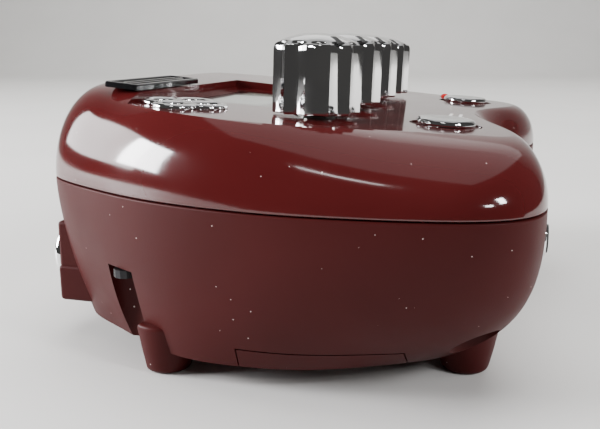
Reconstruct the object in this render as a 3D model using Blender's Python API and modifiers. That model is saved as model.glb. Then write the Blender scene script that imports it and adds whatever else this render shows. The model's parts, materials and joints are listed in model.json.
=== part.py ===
"""A pocket desktop guitar effects unit: a bean-shaped case in two shells, with four knobs, push buttons,
a display, a jack panel at the back, and its boards, jacks and cells inside.

Metres, +Z up. X is the long side, -Y the front with the notch of the bean, +Y the jack panel.
The origin is the middle of the bounding box, on the surface that the feet stand on.
"""

import math

import bmesh
import bpy
import numpy as np
from mathutils import Matrix

# Case
BODY_LENGTH = 0.152
BODY_DEPTH = 0.118
BOTTOM_Z = 0.0055
PARTING_Z = 0.041
WALL = 0.0022
GAP = 0.0003
RIM_Z = 0.0587
RIM_SLOPE = 0.095
PANEL_Z = 0.0574
PANEL_SLOPE = 0.066
ROOF = 0.00285
RIM_EDGE_Y = 0.0315
DECK_EDGE_X = 0.0155
DECK_EDGE_Y = 0.0185

# Feet, screw pockets and screws, at shares of the half length and half depth
FEET = ((0.779, 0.370), (0.545, -0.745))
POCKETS = ((0.816, 0.508), (0.735, -0.785))
FOOT_RADIUS = 0.0064
FOOT_TIP_RADIUS = 0.0048
FOOT_TOP_Z = 0.011
POCKET_RADIUS = 0.0041
POCKET_TOP_Z = 0.024
BOSS_RADIUS = 0.0056
SCREW_RADIUS = 0.0013
SCREW_HEAD_RADIUS = 0.0027
SCREW_TOP_Z = 0.0485
POST_RADIUS = 0.0032

# Knobs and potentiometers
KNOB_COUNT = 4
KNOB_DIAMETER = 0.0198
KNOB_HEIGHT = 0.0172
KNOB_DOME = 0.0026
KNOB_FIRST_X = -0.044
KNOB_PITCH = 0.0265
KNOB_Y = -0.009
KNOB_FLUTES = 12
FLUTE_DEPTH = 0.0009
KNOB_LIFT = (0.0008, 0.0012, 0.0012, 0.0008)
KNOB_SLOPE = 0.030
SHAFT_RADIUS = 0.003
BUSHING_RADIUS = 0.0045
POT_RADIUS = 0.008
POT_HEIGHT = 0.0062

# Boards, in the panel's own frame and below it
BOARD_THICKNESS = 0.0016
CONTROL_BOARD_TOP = -0.0115
CONTROL_BOARD_SHARES = (0.697, -0.695, 0.661)
MAIN_BOARD_SHARES = (0.632, -0.593, 0.780)
MAIN_BOARD_Z = 0.0310

# Push buttons
BUTTON_RADIUS = 0.0066
BUTTON_RISE = 0.0015
BUTTON_RECESS_RADIUS = 0.0081
BUTTON_RECESS = 0.0009
BUTTON_STEM_RADIUS = 0.0022
BUTTON_TRAVEL = 0.0006
BUTTON_SPOTS = {"tap": (-0.0365, -0.037), "save": (0.0365, -0.037)}
NAV_SPOT = (0.044, 0.0092)
NAV_RADIUS = 0.0078
SWITCH_SIDE = 0.006
SWITCH_HEIGHT = 0.0035

# Lamp, display, badge plate and ornament
LAMP_SPOT = (0.050, -0.030)
LAMP_RADIUS = 0.0015
DISPLAY_CENTRE = (-0.015, 0.0150)
DISPLAY_SIZE = (0.038, 0.020)
DISPLAY_THICKNESS = 0.0014
DISPLAY_LEDGE = 0.0025
MODULE_THICKNESS = 0.0055
PLATE_CENTRE = (-0.031, 0.0364)
PLATE_SIZE = (0.036, 0.0088)
PLATE_THICKNESS = 0.0015
ORNAMENT_CENTRE = (-0.0475, 0.0210)
ORNAMENT_RING = 0.0052
ORNAMENT_HOLE = 0.0031
ORNAMENT_OFFSET = 0.0050
ORNAMENT_THICKNESS = 0.0010

# Jack panel at the back
JACK_PANEL_HALF = 0.0485
JACK_PANEL_Y = BODY_DEPTH / 2 - 0.0023
JACK_PANEL_LOW = 0.0090
JACK_PANEL_HIGH = 0.0295
JACK_Z = 0.0195
JACK_X = {"instrument": -0.0385, "output": -0.015}
JACK_BORE = 0.0033
JACK_BARREL = 0.0045
JACK_BODY = 0.0072
JACK_DEPTH = 0.027
JACK_PROUD = 0.0031
NUT_RADIUS = 0.0080
NUT_THICKNESS = 0.0022
AUX_X = 0.0015
AUX_RADIUS = 0.003
AUX_BORE = 0.0018
AUX_DEPTH = 0.012
USB_X = 0.0135
USB_SIZE = (0.0078, 0.0040)
INLET_X = 0.027
INLET_SIDE = 0.0095
INLET_BORE = 0.0030
INLET_PIN = 0.0008
SOCKET_DEPTH = 0.011
SLIDER_X = 0.0390
SLIDER_SIZE = (0.0032, 0.0030)
SLIDER_PROUD = 0.0016
SLIDER_TRAVEL = 0.0022

# Headphone jack at the front of the near lobe
PHONES_X = -0.046
PHONES_Z = 0.0327
PHONES_FACE_Y = -BODY_DEPTH / 2 + 0.0010
PHONES_NUT_RADIUS = 0.0040
PHONES_NUT_THICKNESS = 0.0012
PHONES_PROUD = 0.0018

# Battery bay
DOOR_Y = -0.0155
DOOR_WIDTH = 0.034
DOOR_END_X = 0.0455
DOOR_TOP_Z = 0.0102
TRAY_START_X = -0.0505
TRAY_CLEARANCE = 0.0004
TRAY_WALL = 0.0012
CELL_RADIUS = 0.00515
CELL_LENGTH = 0.0445
CELL_NIPPLE = 0.0019
CONTACT_THICKNESS = 0.0004

# Half outlines of the case as shares of the half length and the half depth, from the middle of the back
# round to the middle of the front: the widest line, the line where the upper shell's side would turn level,
# and the edge of the flat bottom.
PARTING_OUTLINE = (
    (0.0, 1.0),
    (0.395, 1.0),
    (0.632, 0.941),
    (0.79, 0.678),
    (0.914, 0.356),
    (0.98, 0.034),
    (1.0, -0.237),
    (0.984, -0.550),
    (0.935, -0.825),
    (0.790, -1.0),
    (0.455, -0.965),
    (0.0, -0.797),
)
CROWN_OUTLINE = (
    (0.0, 0.78),
    (0.36, 0.78),
    (0.53, 0.71),
    (0.625, 0.485),
    (0.745, 0.27),
    (0.785, 0.03),
    (0.745, -0.19),
    (0.670, -0.41),
    (0.645, -0.66),
    (0.595, -0.835),
    (0.40, -0.825),
    (0.0, -0.69),
)
BOTTOM_OUTLINE = (
    (0.0, 0.898),
    (0.382, 0.898),
    (0.592, 0.831),
    (0.717, 0.61),
    (0.855, 0.305),
    (0.882, 0.017),
    (0.849, -0.237),
    (0.75, -0.508),
    (0.651, -0.686),
    (0.526, -0.763),
    (0.316, -0.746),
    (0.0, -0.644),
)
STEPS_PER_SPAN = 3
BOWL_LEVELS = (0.0, 0.25, 0.45, 0.6, 0.73, 0.84, 0.92, 0.97)
BOWL_HOLLOW_LEVELS = (0.0, 0.4, 0.65, 0.85, 0.96)
DOME_ANGLES = (0, 15, 30, 45, 60, 72, 84)
DOME_HOLLOW_ANGLES = (0, 30, 55, 84)
SIDE_TAPER_BACK = 1.6
SIDE_TAPER_FRONT = 2.9
ROUND_STEPS = 20

PANEL_TILT = math.atan(PANEL_SLOPE)
RIM_TILT = math.atan(RIM_SLOPE)
HALF_LENGTH = BODY_LENGTH / 2
HALF_DEPTH = BODY_DEPTH / 2
BACK_MOST = JACK_PANEL_Y + JACK_PROUD
FRONT_MOST = min(PHONES_FACE_Y - PHONES_PROUD, -HALF_DEPTH)


# ---------------------------------------------------------------- scene


def clear_scene():
    for obj in list(bpy.data.objects):
        bpy.data.objects.remove(obj, do_unlink=True)


def make_collection(name):
    collection = bpy.data.collections.new(name)
    bpy.context.scene.collection.children.link(collection)
    return collection


clear_scene()
PARTS = make_collection("effects_unit")
CUTTERS = make_collection("cutters")


def make_material(name, colour, roughness, metallic=0.0):
    material = bpy.data.materials.new(name)
    material.use_nodes = True
    shader = material.node_tree.nodes["Principled BSDF"]
    shader.inputs["Base Color"].default_value = (*colour, 1.0)
    shader.inputs["Roughness"].default_value = roughness
    shader.inputs["Metallic"].default_value = metallic
    return material


FINISHES = {
    "gloss_burgundy": ((0.16, 0.012, 0.014), 0.15, 0.0),
    "satin_burgundy": ((0.15, 0.014, 0.015), 0.45, 0.0),
    "chrome": ((0.85, 0.85, 0.86), 0.06, 1.0),
    "steel": ((0.6, 0.6, 0.58), 0.3, 1.0),
    "black_gloss": ((0.01, 0.01, 0.011), 0.12, 0.0),
    "black_plastic": ((0.02, 0.02, 0.02), 0.5, 0.0),
    "display_glass": ((0.12, 0.15, 0.12), 0.08, 0.0),
    "board_green": ((0.02, 0.12, 0.05), 0.4, 0.0),
    "lamp_red": ((0.7, 0.02, 0.02), 0.2, 0.0),
    "cell_wrap": ((0.1, 0.1, 0.12), 0.3, 0.2),
}


def finished(name, mesh, finish):
    """The mesh as a named part with its own material."""
    colour, roughness, metallic = FINISHES[finish]
    mesh.materials.append(make_material(f"{name}_{finish}", colour, roughness, metallic))
    obj = bpy.data.objects.new(name, mesh)
    PARTS.objects.link(obj)
    return obj


def as_cutter(name, mesh):
    obj = bpy.data.objects.new(name, mesh)
    CUTTERS.objects.link(obj)
    obj.hide_render = True
    obj.display_type = "WIRE"
    return obj


def combine(target, other, operation="DIFFERENCE"):
    modifier = target.modifiers.new(other.name, "BOOLEAN")
    modifier.operation = operation
    modifier.solver = "EXACT"
    modifier.object = other


# ---------------------------------------------------------------- basic shapes


def mesh_of(name, build):
    """A mesh from bmesh calls made by build(bm)."""
    bm = bmesh.new()
    build(bm)
    bmesh.ops.recalc_face_normals(bm, faces=bm.faces)
    mesh = bpy.data.meshes.new(name)
    bm.to_mesh(mesh)
    bm.free()
    return mesh


def add_box(bm, low, high, frame=None):
    size = [b - a for a, b in zip(low, high)]
    centre = [(a + b) / 2 for a, b in zip(low, high)]
    matrix = (frame or Matrix()) @ Matrix.Translation(centre) @ Matrix.Diagonal((*size, 1.0))
    bmesh.ops.create_cube(bm, size=1.0, matrix=matrix)


def add_rod(bm, radius, low, high, frame=None, steps=ROUND_STEPS, top_radius=None):
    """A round rod along Z of its frame, from low to high."""
    matrix = (frame or Matrix()) @ Matrix.Translation((0, 0, (low + high) / 2))
    bmesh.ops.create_cone(
        bm,
        cap_ends=True,
        segments=steps,
        radius1=radius,
        radius2=radius if top_radius is None else top_radius,
        depth=high - low,
        matrix=matrix,
    )


def box_part(name, finish, low, high, frame=None):
    return finished(name, mesh_of(name, lambda bm: add_box(bm, low, high, frame)), finish)


def turned_part(name, finish, profile, frame, steps=ROUND_STEPS):
    """A turned piece: its (radius, height) profile runs down the outside and ends where it began."""
    mesh = bpy.data.meshes.new(name)
    closed = profile[0] == profile[-1]
    points = profile[:-1] if closed else profile
    edges = [(i, (i + 1) % len(points)) for i in range(len(profile) - 1)]
    mesh.from_pydata([(r, 0.0, z) for r, z in points], edges, [])
    obj = finished(name, mesh, finish)
    obj.matrix_world = frame
    screw = obj.modifiers.new("turn", "SCREW")
    screw.steps = steps
    screw.render_steps = steps
    screw.use_merge_vertices = True
    screw.merge_threshold = 0.00001
    return obj


def at(x, y, z):
    return Matrix.Translation((x, y, z))


def on_panel(x, y):
    """The frame of a piece on the top panel, whose Z is the panel's normal."""
    return at(x, y, PANEL_Z + PANEL_SLOPE * y) @ Matrix.Rotation(PANEL_TILT, 4, "X")


def on_rim(x, y):
    return at(x, y, RIM_Z + RIM_SLOPE * y) @ Matrix.Rotation(RIM_TILT, 4, "X")


def out_of_back(x, z=JACK_Z):
    """The frame of a piece in the jack panel, whose Z points out of the back."""
    return at(x, JACK_PANEL_Y, z) @ Matrix.Rotation(-math.pi / 2, 4, "X")


def out_of_front():
    return at(PHONES_X, PHONES_FACE_Y, PHONES_Z) @ Matrix.Rotation(math.pi / 2, 4, "X")


# ---------------------------------------------------------------- case


def outline(shares):
    """A closed smooth outline, N x 2: the periodic cubic spline through the half outline and its mirror
    image. Each span is the Hermite cubic of its two ends and tangents, and the tangents solve
    m[i-1] + 4 m[i] + m[i+1] = 3 (p[i+1] - p[i-1])."""
    half = np.array(shares)
    knots = np.concatenate([half, half[-2:0:-1] * (-1, 1)])
    following = np.roll(knots, -1, axis=0)
    shift = np.roll(np.eye(len(knots)), 1, axis=1)
    rises = 3 * (following - np.roll(knots, 1, axis=0))
    slopes = np.linalg.solve(4 * np.eye(len(knots)) + shift + shift.T, rises)
    t = (np.arange(STEPS_PER_SPAN) / STEPS_PER_SPAN)[None, :, None]
    p0, p1 = knots[:, None], following[:, None]
    m0, m1 = slopes[:, None], np.roll(slopes, -1, axis=0)[:, None]
    points = (2 * t**3 - 3 * t**2 + 1) * p0 + (t**3 - 2 * t**2 + t) * m0
    points = points + (3 * t**2 - 2 * t**3) * p1 + (t**3 - t**2) * m1
    return points.reshape(-1, 2)[::-1]


def sized_parting_outline():
    """The widest outline in metres, scaled to the case's exact length and depth."""
    points = outline(PARTING_OUTLINE)
    low, high = points.min(axis=0), points.max(axis=0)
    return (points - (low + high) / 2) * (BODY_LENGTH, BODY_DEPTH) / (high - low)


def drawn_in(points, inset):
    """The outline scaled so that it lies inset further in at its ends, front and back."""
    return points * (1 - inset / HALF_LENGTH, 1 - inset / HALF_DEPTH)


def loft(name, rings):
    """A closed solid through rings of points, with a flat face at each end."""
    count = len(rings[0])
    points = np.concatenate(rings)
    faces = []
    for r in range(len(rings) - 1):
        for i in range(count):
            j = (i + 1) % count
            faces.append((r * count + i, r * count + j, (r + 1) * count + j, (r + 1) * count + i))
    faces.append(tuple(range(count)))
    faces.append(tuple((len(rings) - 1) * count + i for i in range(count)))
    mesh = bpy.data.meshes.new(name)
    mesh.from_pydata(points.tolist(), [], faces)
    bm = bmesh.new()
    bm.from_mesh(mesh)
    bmesh.ops.recalc_face_normals(bm, faces=bm.faces)
    bm.to_mesh(mesh)
    bm.free()
    return mesh


def level_ring(points, z):
    return np.column_stack([points, np.full(len(points), z)])


def bowl_rings(inset, top, floor, levels=BOWL_LEVELS):
    """The lower shell's side: it leaves the widest outline and tapers in to the flat bottom.
    The share drawn in is the depth's share to a power that grows from the back to the front."""
    wide = drawn_in(sized_parting_outline(), inset)
    low = drawn_in(outline(BOTTOM_OUTLINE) * (HALF_LENGTH, HALF_DEPTH), inset)
    forward = (1 - wide[:, 1:] / HALF_DEPTH) / 2
    power = SIDE_TAPER_BACK + (SIDE_TAPER_FRONT - SIDE_TAPER_BACK) * forward
    rings = [level_ring(wide, top)]
    for level in levels:
        z = PARTING_Z - GAP / 2 - level * (PARTING_Z - floor)
        rings.append(level_ring(wide + (low - wide) * level**power, z))
    rings.append(level_ring(drawn_in(low, 0.002), floor))
    return rings if top > rings[1][0, 2] else rings[1:]


def dome_rings(inset, bottom, top_z, top_slope, angles=DOME_ANGLES):
    """The upper shell's side: a quarter ellipse from the widest outline towards the crown outline, under a
    top plane that rises towards the back."""
    wide = drawn_in(sized_parting_outline(), inset)
    crown = drawn_in(outline(CROWN_OUTLINE) * (HALF_LENGTH, HALF_DEPTH), inset)
    last = math.sin(math.radians(angles[-1]))
    rings = []
    for angle in map(math.radians, angles):
        ring = wide + (crown - wide) * (1 - math.cos(angle))
        rise = top_z + top_slope * ring[:, 1] - PARTING_Z
        rings.append(np.column_stack([ring, PARTING_Z + rise * math.sin(angle) / last]))
    rings[0][:, 2] = bottom
    return rings


def mirrored_spots(shares):
    """Places in X and Y for shares of the half sizes, at both ends of the case."""
    return [(side * x * HALF_LENGTH, y * HALF_DEPTH) for x, y in shares for side in (-1, 1)]


def rods_mesh(name, spots, radius, low, high, steps=ROUND_STEPS):
    def build(bm):
        for x, y in spots:
            add_rod(bm, radius, low, high, at(x, y, 0), steps)

    return mesh_of(name, build)


def box_cutter(name, low, high, frame=None):
    return as_cutter(name, mesh_of(name, lambda bm: add_box(bm, low, high, frame)))


def rod_cutter(name, radius, low, high, frame):
    return as_cutter(name, mesh_of(name, lambda bm: add_rod(bm, radius, low, high, frame)))


def panel_cutter():
    """Everything above the top panel, in front of the rim and of the raised deck beside the display."""
    far = 2 * BODY_LENGTH
    corners = (
        (-far, -far),
        (far, -far),
        (far, DECK_EDGE_Y),
        (DECK_EDGE_X, DECK_EDGE_Y),
        (DECK_EDGE_X, RIM_EDGE_Y),
        (-far, RIM_EDGE_Y),
    )
    plan = np.array(corners)
    floor = np.column_stack([plan, PANEL_Z + PANEL_SLOPE * plan[:, 1]])
    return as_cutter("panel_cut", loft("panel_cut", [floor, level_ring(plan, far)]))


def make_upper_shell():
    shell = finished(
        "upper_shell",
        loft("upper_shell", dome_rings(0.0, PARTING_Z + GAP / 2, RIM_Z, RIM_SLOPE)),
        "gloss_burgundy",
    )
    combine(shell, panel_cutter())
    hollow_rings = dome_rings(WALL, PARTING_Z - WALL, PANEL_Z - ROOF, PANEL_SLOPE, DOME_HOLLOW_ANGLES)
    hollow = as_cutter("upper_hollow", loft("upper_hollow", hollow_rings))
    posts = as_cutter(
        "upper_posts",
        rods_mesh("upper_posts", mirrored_spots(POCKETS), POST_RADIUS, PARTING_Z + GAP / 2, 2 * PANEL_Z, 12),
    )
    combine(hollow, posts)
    combine(shell, hollow)
    holes = rods_mesh(
        "screw_bores", mirrored_spots(POCKETS), SCREW_RADIUS + GAP, 0, SCREW_TOP_Z + 0.001, 12
    )
    combine(shell, as_cutter("screw_bores", holes))
    for i, frame in enumerate(knob_frames()):
        combine(shell, rod_cutter(f"bushing_hole_{i + 1}", BUSHING_RADIUS + GAP, -0.01, 0.01, frame))
    for name, spot in BUTTON_SPOTS.items():
        cut_button_place(shell, name, on_panel(*spot), BUTTON_RECESS_RADIUS)
    cut_button_place(shell, "nav", on_panel(*NAV_SPOT), NAV_RADIUS + 0.001)
    combine(shell, rod_cutter("lamp_hole", LAMP_RADIUS + GAP, -0.01, 0.01, on_panel(*LAMP_SPOT)))
    cut_display_place(shell)
    return shell


def cut_button_place(shell, name, frame, radius):
    combine(shell, rod_cutter(f"{name}_recess", radius, -BUTTON_RECESS, 0.01, frame))
    combine(shell, rod_cutter(f"{name}_hole", BUTTON_STEM_RADIUS + GAP, -0.02, 0.01, frame))


def cut_display_place(shell):
    frame = on_panel(*DISPLAY_CENTRE)
    half_x, half_y = DISPLAY_SIZE[0] / 2 + GAP, DISPLAY_SIZE[1] / 2 + GAP
    deep = DISPLAY_THICKNESS + GAP
    combine(shell, box_cutter("display_seat", (-half_x, -half_y, -deep), (half_x, half_y, 0.01), frame))
    open_x, open_y = half_x - DISPLAY_LEDGE, half_y - DISPLAY_LEDGE
    combine(shell, box_cutter("display_opening", (-open_x, -open_y, -0.01), (open_x, open_y, 0.01), frame))


def make_bowl_hollow():
    """The inside of the lower shell, with the screw bosses left standing."""
    hollow = as_cutter(
        "lower_hollow",
        loft("lower_hollow", bowl_rings(WALL, PARTING_Z + WALL, BOTTOM_Z + WALL, BOWL_HOLLOW_LEVELS)),
    )
    bosses = rods_mesh(
        "lower_bosses", mirrored_spots(POCKETS), BOSS_RADIUS, -0.01, PARTING_Z - GAP / 2, 16
    )
    combine(hollow, as_cutter("lower_bosses", bosses))
    return hollow


def make_feet():
    def build(bm):
        for x, y in mirrored_spots(FEET):
            frame = at(x, y, 0)
            add_rod(bm, FOOT_TIP_RADIUS, 0, FOOT_TOP_Z, frame, 20, FOOT_RADIUS)

    return as_cutter("feet", mesh_of("feet", build))


def door_box(gap):
    """The low and high corners of the battery door's place, grown by gap."""
    low = (-BODY_LENGTH, DOOR_Y - DOOR_WIDTH / 2 - gap, -0.01)
    high = (DOOR_END_X + gap, DOOR_Y + DOOR_WIDTH / 2 + gap, DOOR_TOP_Z + gap)
    return low, high


def make_lower_shell():
    rings = bowl_rings(0.0, PARTING_Z - GAP / 2, BOTTOM_Z)
    shell = finished("lower_shell", loft("lower_shell", rings), "satin_burgundy")
    flat_low = (-JACK_PANEL_HALF - GAP, JACK_PANEL_Y - GAP, -0.01)
    flat_high = (JACK_PANEL_HALF + GAP, BODY_DEPTH, JACK_PANEL_HIGH + GAP)
    combine(shell, box_cutter("jack_panel_flat", flat_low, flat_high))
    panel_low = (-JACK_PANEL_HALF, 0.02, JACK_PANEL_LOW)
    panel_high = (JACK_PANEL_HALF, JACK_PANEL_Y, JACK_PANEL_HIGH)
    combine(shell, box_cutter("jack_panel", panel_low, panel_high), "UNION")
    combine(shell, make_feet(), "UNION")
    combine(shell, make_bowl_hollow())
    inner_low = (-JACK_PANEL_HALF + WALL, 0.025, JACK_PANEL_LOW + WALL)
    inner_high = (JACK_PANEL_HALF - WALL, JACK_PANEL_Y - WALL, JACK_PANEL_HIGH - WALL)
    combine(shell, box_cutter("jack_panel_hollow", inner_low, inner_high))
    spots = mirrored_spots(POCKETS)
    combine(shell, as_cutter("pockets", rods_mesh("pockets", spots, POCKET_RADIUS, -0.01, POCKET_TOP_Z)))
    bores = rods_mesh("lower_bores", spots, SCREW_RADIUS + GAP, 0.01, PARTING_Z + 0.01, 12)
    combine(shell, as_cutter("lower_bores", bores))
    combine(shell, box_cutter("door_opening", *door_box(GAP)))
    cut_jack_holes(shell)
    return shell


def cut_jack_holes(shell):
    for name, x in JACK_X.items():
        combine(shell, rod_cutter(f"{name}_hole", JACK_BARREL + GAP, -0.01, 0.01, out_of_back(x)))
    combine(shell, rod_cutter("aux_hole", AUX_RADIUS + GAP, -0.01, 0.01, out_of_back(AUX_X)))
    combine(shell, rod_cutter("inlet_hole", INLET_BORE, -0.01, 0.01, out_of_back(INLET_X)))
    half_x, half_z = USB_SIZE[0] / 2 + GAP, USB_SIZE[1] / 2 + GAP
    combine(shell, box_cutter("usb_hole", (-half_x, -half_z, -0.01), (half_x, half_z, 0.01), out_of_back(USB_X)))
    slot_x = SLIDER_SIZE[0] / 2 + SLIDER_TRAVEL / 2 + GAP
    slot_z = SLIDER_SIZE[1] / 2 + GAP
    slot = box_cutter("slider_slot", (-slot_x, -slot_z, -0.01), (slot_x, slot_z, 0.01), out_of_back(SLIDER_X))
    combine(shell, slot)
    combine(shell, rod_cutter("phones_hole", AUX_RADIUS + GAP, -0.006, 0.01, out_of_front()))
    combine(shell, rod_cutter("phones_seat", PHONES_NUT_RADIUS + GAP, -GAP, 0.01, out_of_front()))


def make_battery_door():
    """The floor of the case under the cells, with its end turned up at the end of the case."""
    rings = bowl_rings(0.0, PARTING_Z - GAP / 2, BOTTOM_Z)
    door = finished("battery_door", loft("battery_door", rings), "satin_burgundy")
    combine(door, box_cutter("door_place", *door_box(0.0)), "INTERSECT")
    hollow_rings = bowl_rings(WALL, PARTING_Z + WALL, BOTTOM_Z + WALL, BOWL_HOLLOW_LEVELS)
    combine(door, as_cutter("door_hollow", loft("door_hollow", hollow_rings)))
    return door


# ---------------------------------------------------------------- knobs


def knob_frames():
    """The knobs lean a little less than the panel that they stand over."""
    lean = Matrix.Rotation(math.atan(KNOB_SLOPE), 4, "X")
    place = at(0, KNOB_Y, PANEL_Z + PANEL_SLOPE * KNOB_Y) @ lean
    return [at(KNOB_FIRST_X + i * KNOB_PITCH, 0, 0) @ place for i in range(KNOB_COUNT)]


def knob_ring(scale, z, flutes):
    """One ring of the knob: its radius dips by flutes between the twelve ridges, as |sin| of the angle."""
    count = KNOB_FLUTES * 4
    angles = np.arange(count) * 2 * math.pi / count
    radius = scale * KNOB_DIAMETER / 2 - flutes * np.abs(np.sin(angles * KNOB_FLUTES / 2))
    return np.column_stack([radius * np.cos(angles), radius * np.sin(angles), np.full(count, z)])


def make_knob(number, frame, lift):
    rim = KNOB_HEIGHT - KNOB_DOME
    rings = [
        knob_ring(0.97, 0.0, FLUTE_DEPTH),
        knob_ring(1.0, 0.0008, FLUTE_DEPTH),
        knob_ring(1.0, rim - 0.0008, FLUTE_DEPTH),
        knob_ring(0.96, rim, FLUTE_DEPTH),
        knob_ring(0.75, rim + 0.55 * KNOB_DOME, 0.0),
        knob_ring(0.4, rim + 0.9 * KNOB_DOME, 0.0),
        knob_ring(0.12, rim + KNOB_DOME, 0.0),
    ]
    name = f"knob_{number}"
    knob = finished(name, loft(name, rings), "chrome")
    knob.matrix_world = frame @ at(0, 0, lift)
    bore = rod_cutter(f"knob_bore_{number}", SHAFT_RADIUS + GAP, -0.01, KNOB_HEIGHT * 0.6, frame)
    combine(knob, bore)


def make_potentiometer(number, frame):
    base = CONTROL_BOARD_TOP + GAP
    shoulder = base + POT_HEIGHT
    tip = 0.0003
    bore = SHAFT_RADIUS + GAP
    seat = shoulder - 0.0015
    profile = [
        (BUSHING_RADIUS, tip),
        (BUSHING_RADIUS, shoulder),
        (POT_RADIUS, shoulder),
        (POT_RADIUS, base),
        (0.0, base),
        (0.0, seat),
        (bore, seat),
        (bore, tip),
        (BUSHING_RADIUS, tip),
    ]
    turned_part(f"potentiometer_{number}", "steel", profile, frame, 16)
    top = KNOB_HEIGHT * 0.6 - 0.0005
    foot = seat + GAP
    shaft = [(0.0, top), (SHAFT_RADIUS, top), (SHAFT_RADIUS, foot), (0.0, foot)]
    turned_part(f"knob_shaft_{number}", "steel", shaft, frame, 16)


# ---------------------------------------------------------------- buttons, lamp and top trim


def make_button(name, frame, radius, finish):
    """A cap with a stem down to its switch: the cap's underside stands clear of its recess by the travel."""
    under = BUTTON_TRAVEL - BUTTON_RECESS + GAP
    stem_foot = CONTROL_BOARD_TOP + SWITCH_HEIGHT + BUTTON_TRAVEL + 2 * GAP
    profile = [
        (0.0, BUTTON_RISE),
        (radius * 0.8, BUTTON_RISE - 0.0001),
        (radius * 0.94, BUTTON_RISE - 0.0004),
        (radius, BUTTON_RISE - 0.001),
        (radius, under),
        (BUTTON_STEM_RADIUS, under),
        (BUTTON_STEM_RADIUS, stem_foot),
        (0.0, stem_foot),
    ]
    turned_part(name, finish, profile, frame, 24)


def make_switch(name, spot):
    half = SWITCH_SIDE / 2
    low = (-half, -half, CONTROL_BOARD_TOP + GAP)
    high = (half, half, CONTROL_BOARD_TOP + SWITCH_HEIGHT)
    box_part(name, "black_plastic", low, high, on_panel(*spot))


def make_lamp():
    foot = CONTROL_BOARD_TOP + GAP
    profile = [(0.0, 0.001), (LAMP_RADIUS * 0.7, 0.0007), (LAMP_RADIUS, 0.0), (LAMP_RADIUS, foot), (0.0, foot)]
    turned_part("indicator_lamp", "lamp_red", profile, on_panel(*LAMP_SPOT), 12)


def make_display():
    frame = on_panel(*DISPLAY_CENTRE)
    half_x, half_y = DISPLAY_SIZE[0] / 2, DISPLAY_SIZE[1] / 2
    low = (-half_x, -half_y, -DISPLAY_THICKNESS)
    box_part("display_window", "display_glass", low, (half_x, half_y, -0.0001), frame)
    module_top = -ROOF - GAP
    low = (-half_x, -half_y, module_top - MODULE_THICKNESS)
    box_part("display_module", "board_green", low, (half_x, half_y, module_top), frame)


def make_plate():
    half_x, half_y = PLATE_SIZE[0] / 2, PLATE_SIZE[1] / 2
    low = (-half_x, -half_y, GAP)
    high = (half_x, half_y, PLATE_THICKNESS)
    plate = box_part("badge_plate", "black_gloss", low, high, on_rim(*PLATE_CENTRE))
    bevel = plate.modifiers.new("soft_edges", "BEVEL")
    bevel.width = 0.0003
    bevel.segments = 1


def make_ornament():
    """Four flat rings that run into each other in a diamond."""
    frame = on_panel(*ORNAMENT_CENTRE)
    offsets = ((-1, 0), (0, -1), (1, 0), (0, 1))
    places = [frame @ at(x * ORNAMENT_OFFSET, y * ORNAMENT_OFFSET, 0) for x, y in offsets]
    name = "ornament"
    top = ORNAMENT_THICKNESS
    first = mesh_of(name, lambda bm: add_rod(bm, ORNAMENT_RING, GAP, top, places[0], 24))
    ornament = finished(name, first, "chrome")
    for i, place in enumerate(places[1:]):
        disc = mesh_of(f"disc_{i}", lambda bm, place=place: add_rod(bm, ORNAMENT_RING, GAP, top, place, 24))
        combine(ornament, as_cutter(f"disc_{i}", disc), "UNION")
    for i, place in enumerate(places):
        combine(ornament, rod_cutter(f"ornament_hole_{i}", ORNAMENT_HOLE, -0.01, 0.01, place))


# ---------------------------------------------------------------- jacks and sockets


def socket_profile(barrel, body, bore, proud, depth):
    """A turned jack along Z: a barrel that stands proud, a wider body behind the wall, and a blind bore."""
    behind = -WALL - GAP
    floor = -depth + 0.0015
    return [
        (barrel, proud),
        (barrel, behind),
        (body, behind),
        (body, -depth),
        (0.0, -depth),
        (0.0, floor),
        (bore, floor),
        (bore, proud),
        (barrel, proud),
    ]


def make_jacks():
    for name, x in JACK_X.items():
        frame = out_of_back(x)
        profile = socket_profile(JACK_BARREL, JACK_BODY, JACK_BORE, JACK_PROUD, JACK_DEPTH)
        turned_part(f"{name}_jack", "black_plastic", profile, frame)
        nut = nut_profile(NUT_RADIUS, JACK_BARREL + GAP, NUT_THICKNESS)
        turned_part(f"{name}_jack_nut", "chrome", nut, frame, 24)
    profile = socket_profile(AUX_RADIUS, AUX_RADIUS + 0.0006, AUX_BORE, 0.0004, AUX_DEPTH)
    turned_part("aux_jack", "black_plastic", profile, out_of_back(AUX_X), 16)
    profile = socket_profile(AUX_RADIUS, AUX_RADIUS + 0.0002, AUX_BORE, PHONES_PROUD, AUX_DEPTH)
    turned_part("headphone_jack", "black_plastic", profile, out_of_front(), 16)
    nut = nut_profile(PHONES_NUT_RADIUS, AUX_RADIUS + GAP, PHONES_NUT_THICKNESS)
    turned_part("headphone_jack_nut", "chrome", nut, out_of_front(), 20)


def nut_profile(outer, inner, thickness):
    chamfer = thickness / 4
    return [
        (inner, GAP + thickness),
        (outer - chamfer, GAP + thickness),
        (outer, GAP + thickness - chamfer),
        (outer, GAP),
        (inner, GAP),
        (inner, GAP + thickness),
    ]


def make_usb_socket():
    frame = out_of_back(USB_X)
    half_x, half_z = USB_SIZE[0] / 2, USB_SIZE[1] / 2
    shell = box_part("data_socket", "steel", (-half_x, -half_z, -SOCKET_DEPTH), (half_x, half_z, -0.0002), frame)
    thin = 0.0005
    low = (-half_x + thin, -half_z + thin, -SOCKET_DEPTH + 0.001)
    combine(shell, box_cutter("data_socket_mouth", low, (half_x - thin, half_z - thin, 0.01), frame))
    low = (-half_x + 3 * thin, -thin, low[2] - thin)
    tongue = box_cutter("data_socket_tongue", low, (half_x - 3 * thin, thin, -0.002), frame)
    combine(shell, tongue, "UNION")


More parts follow.
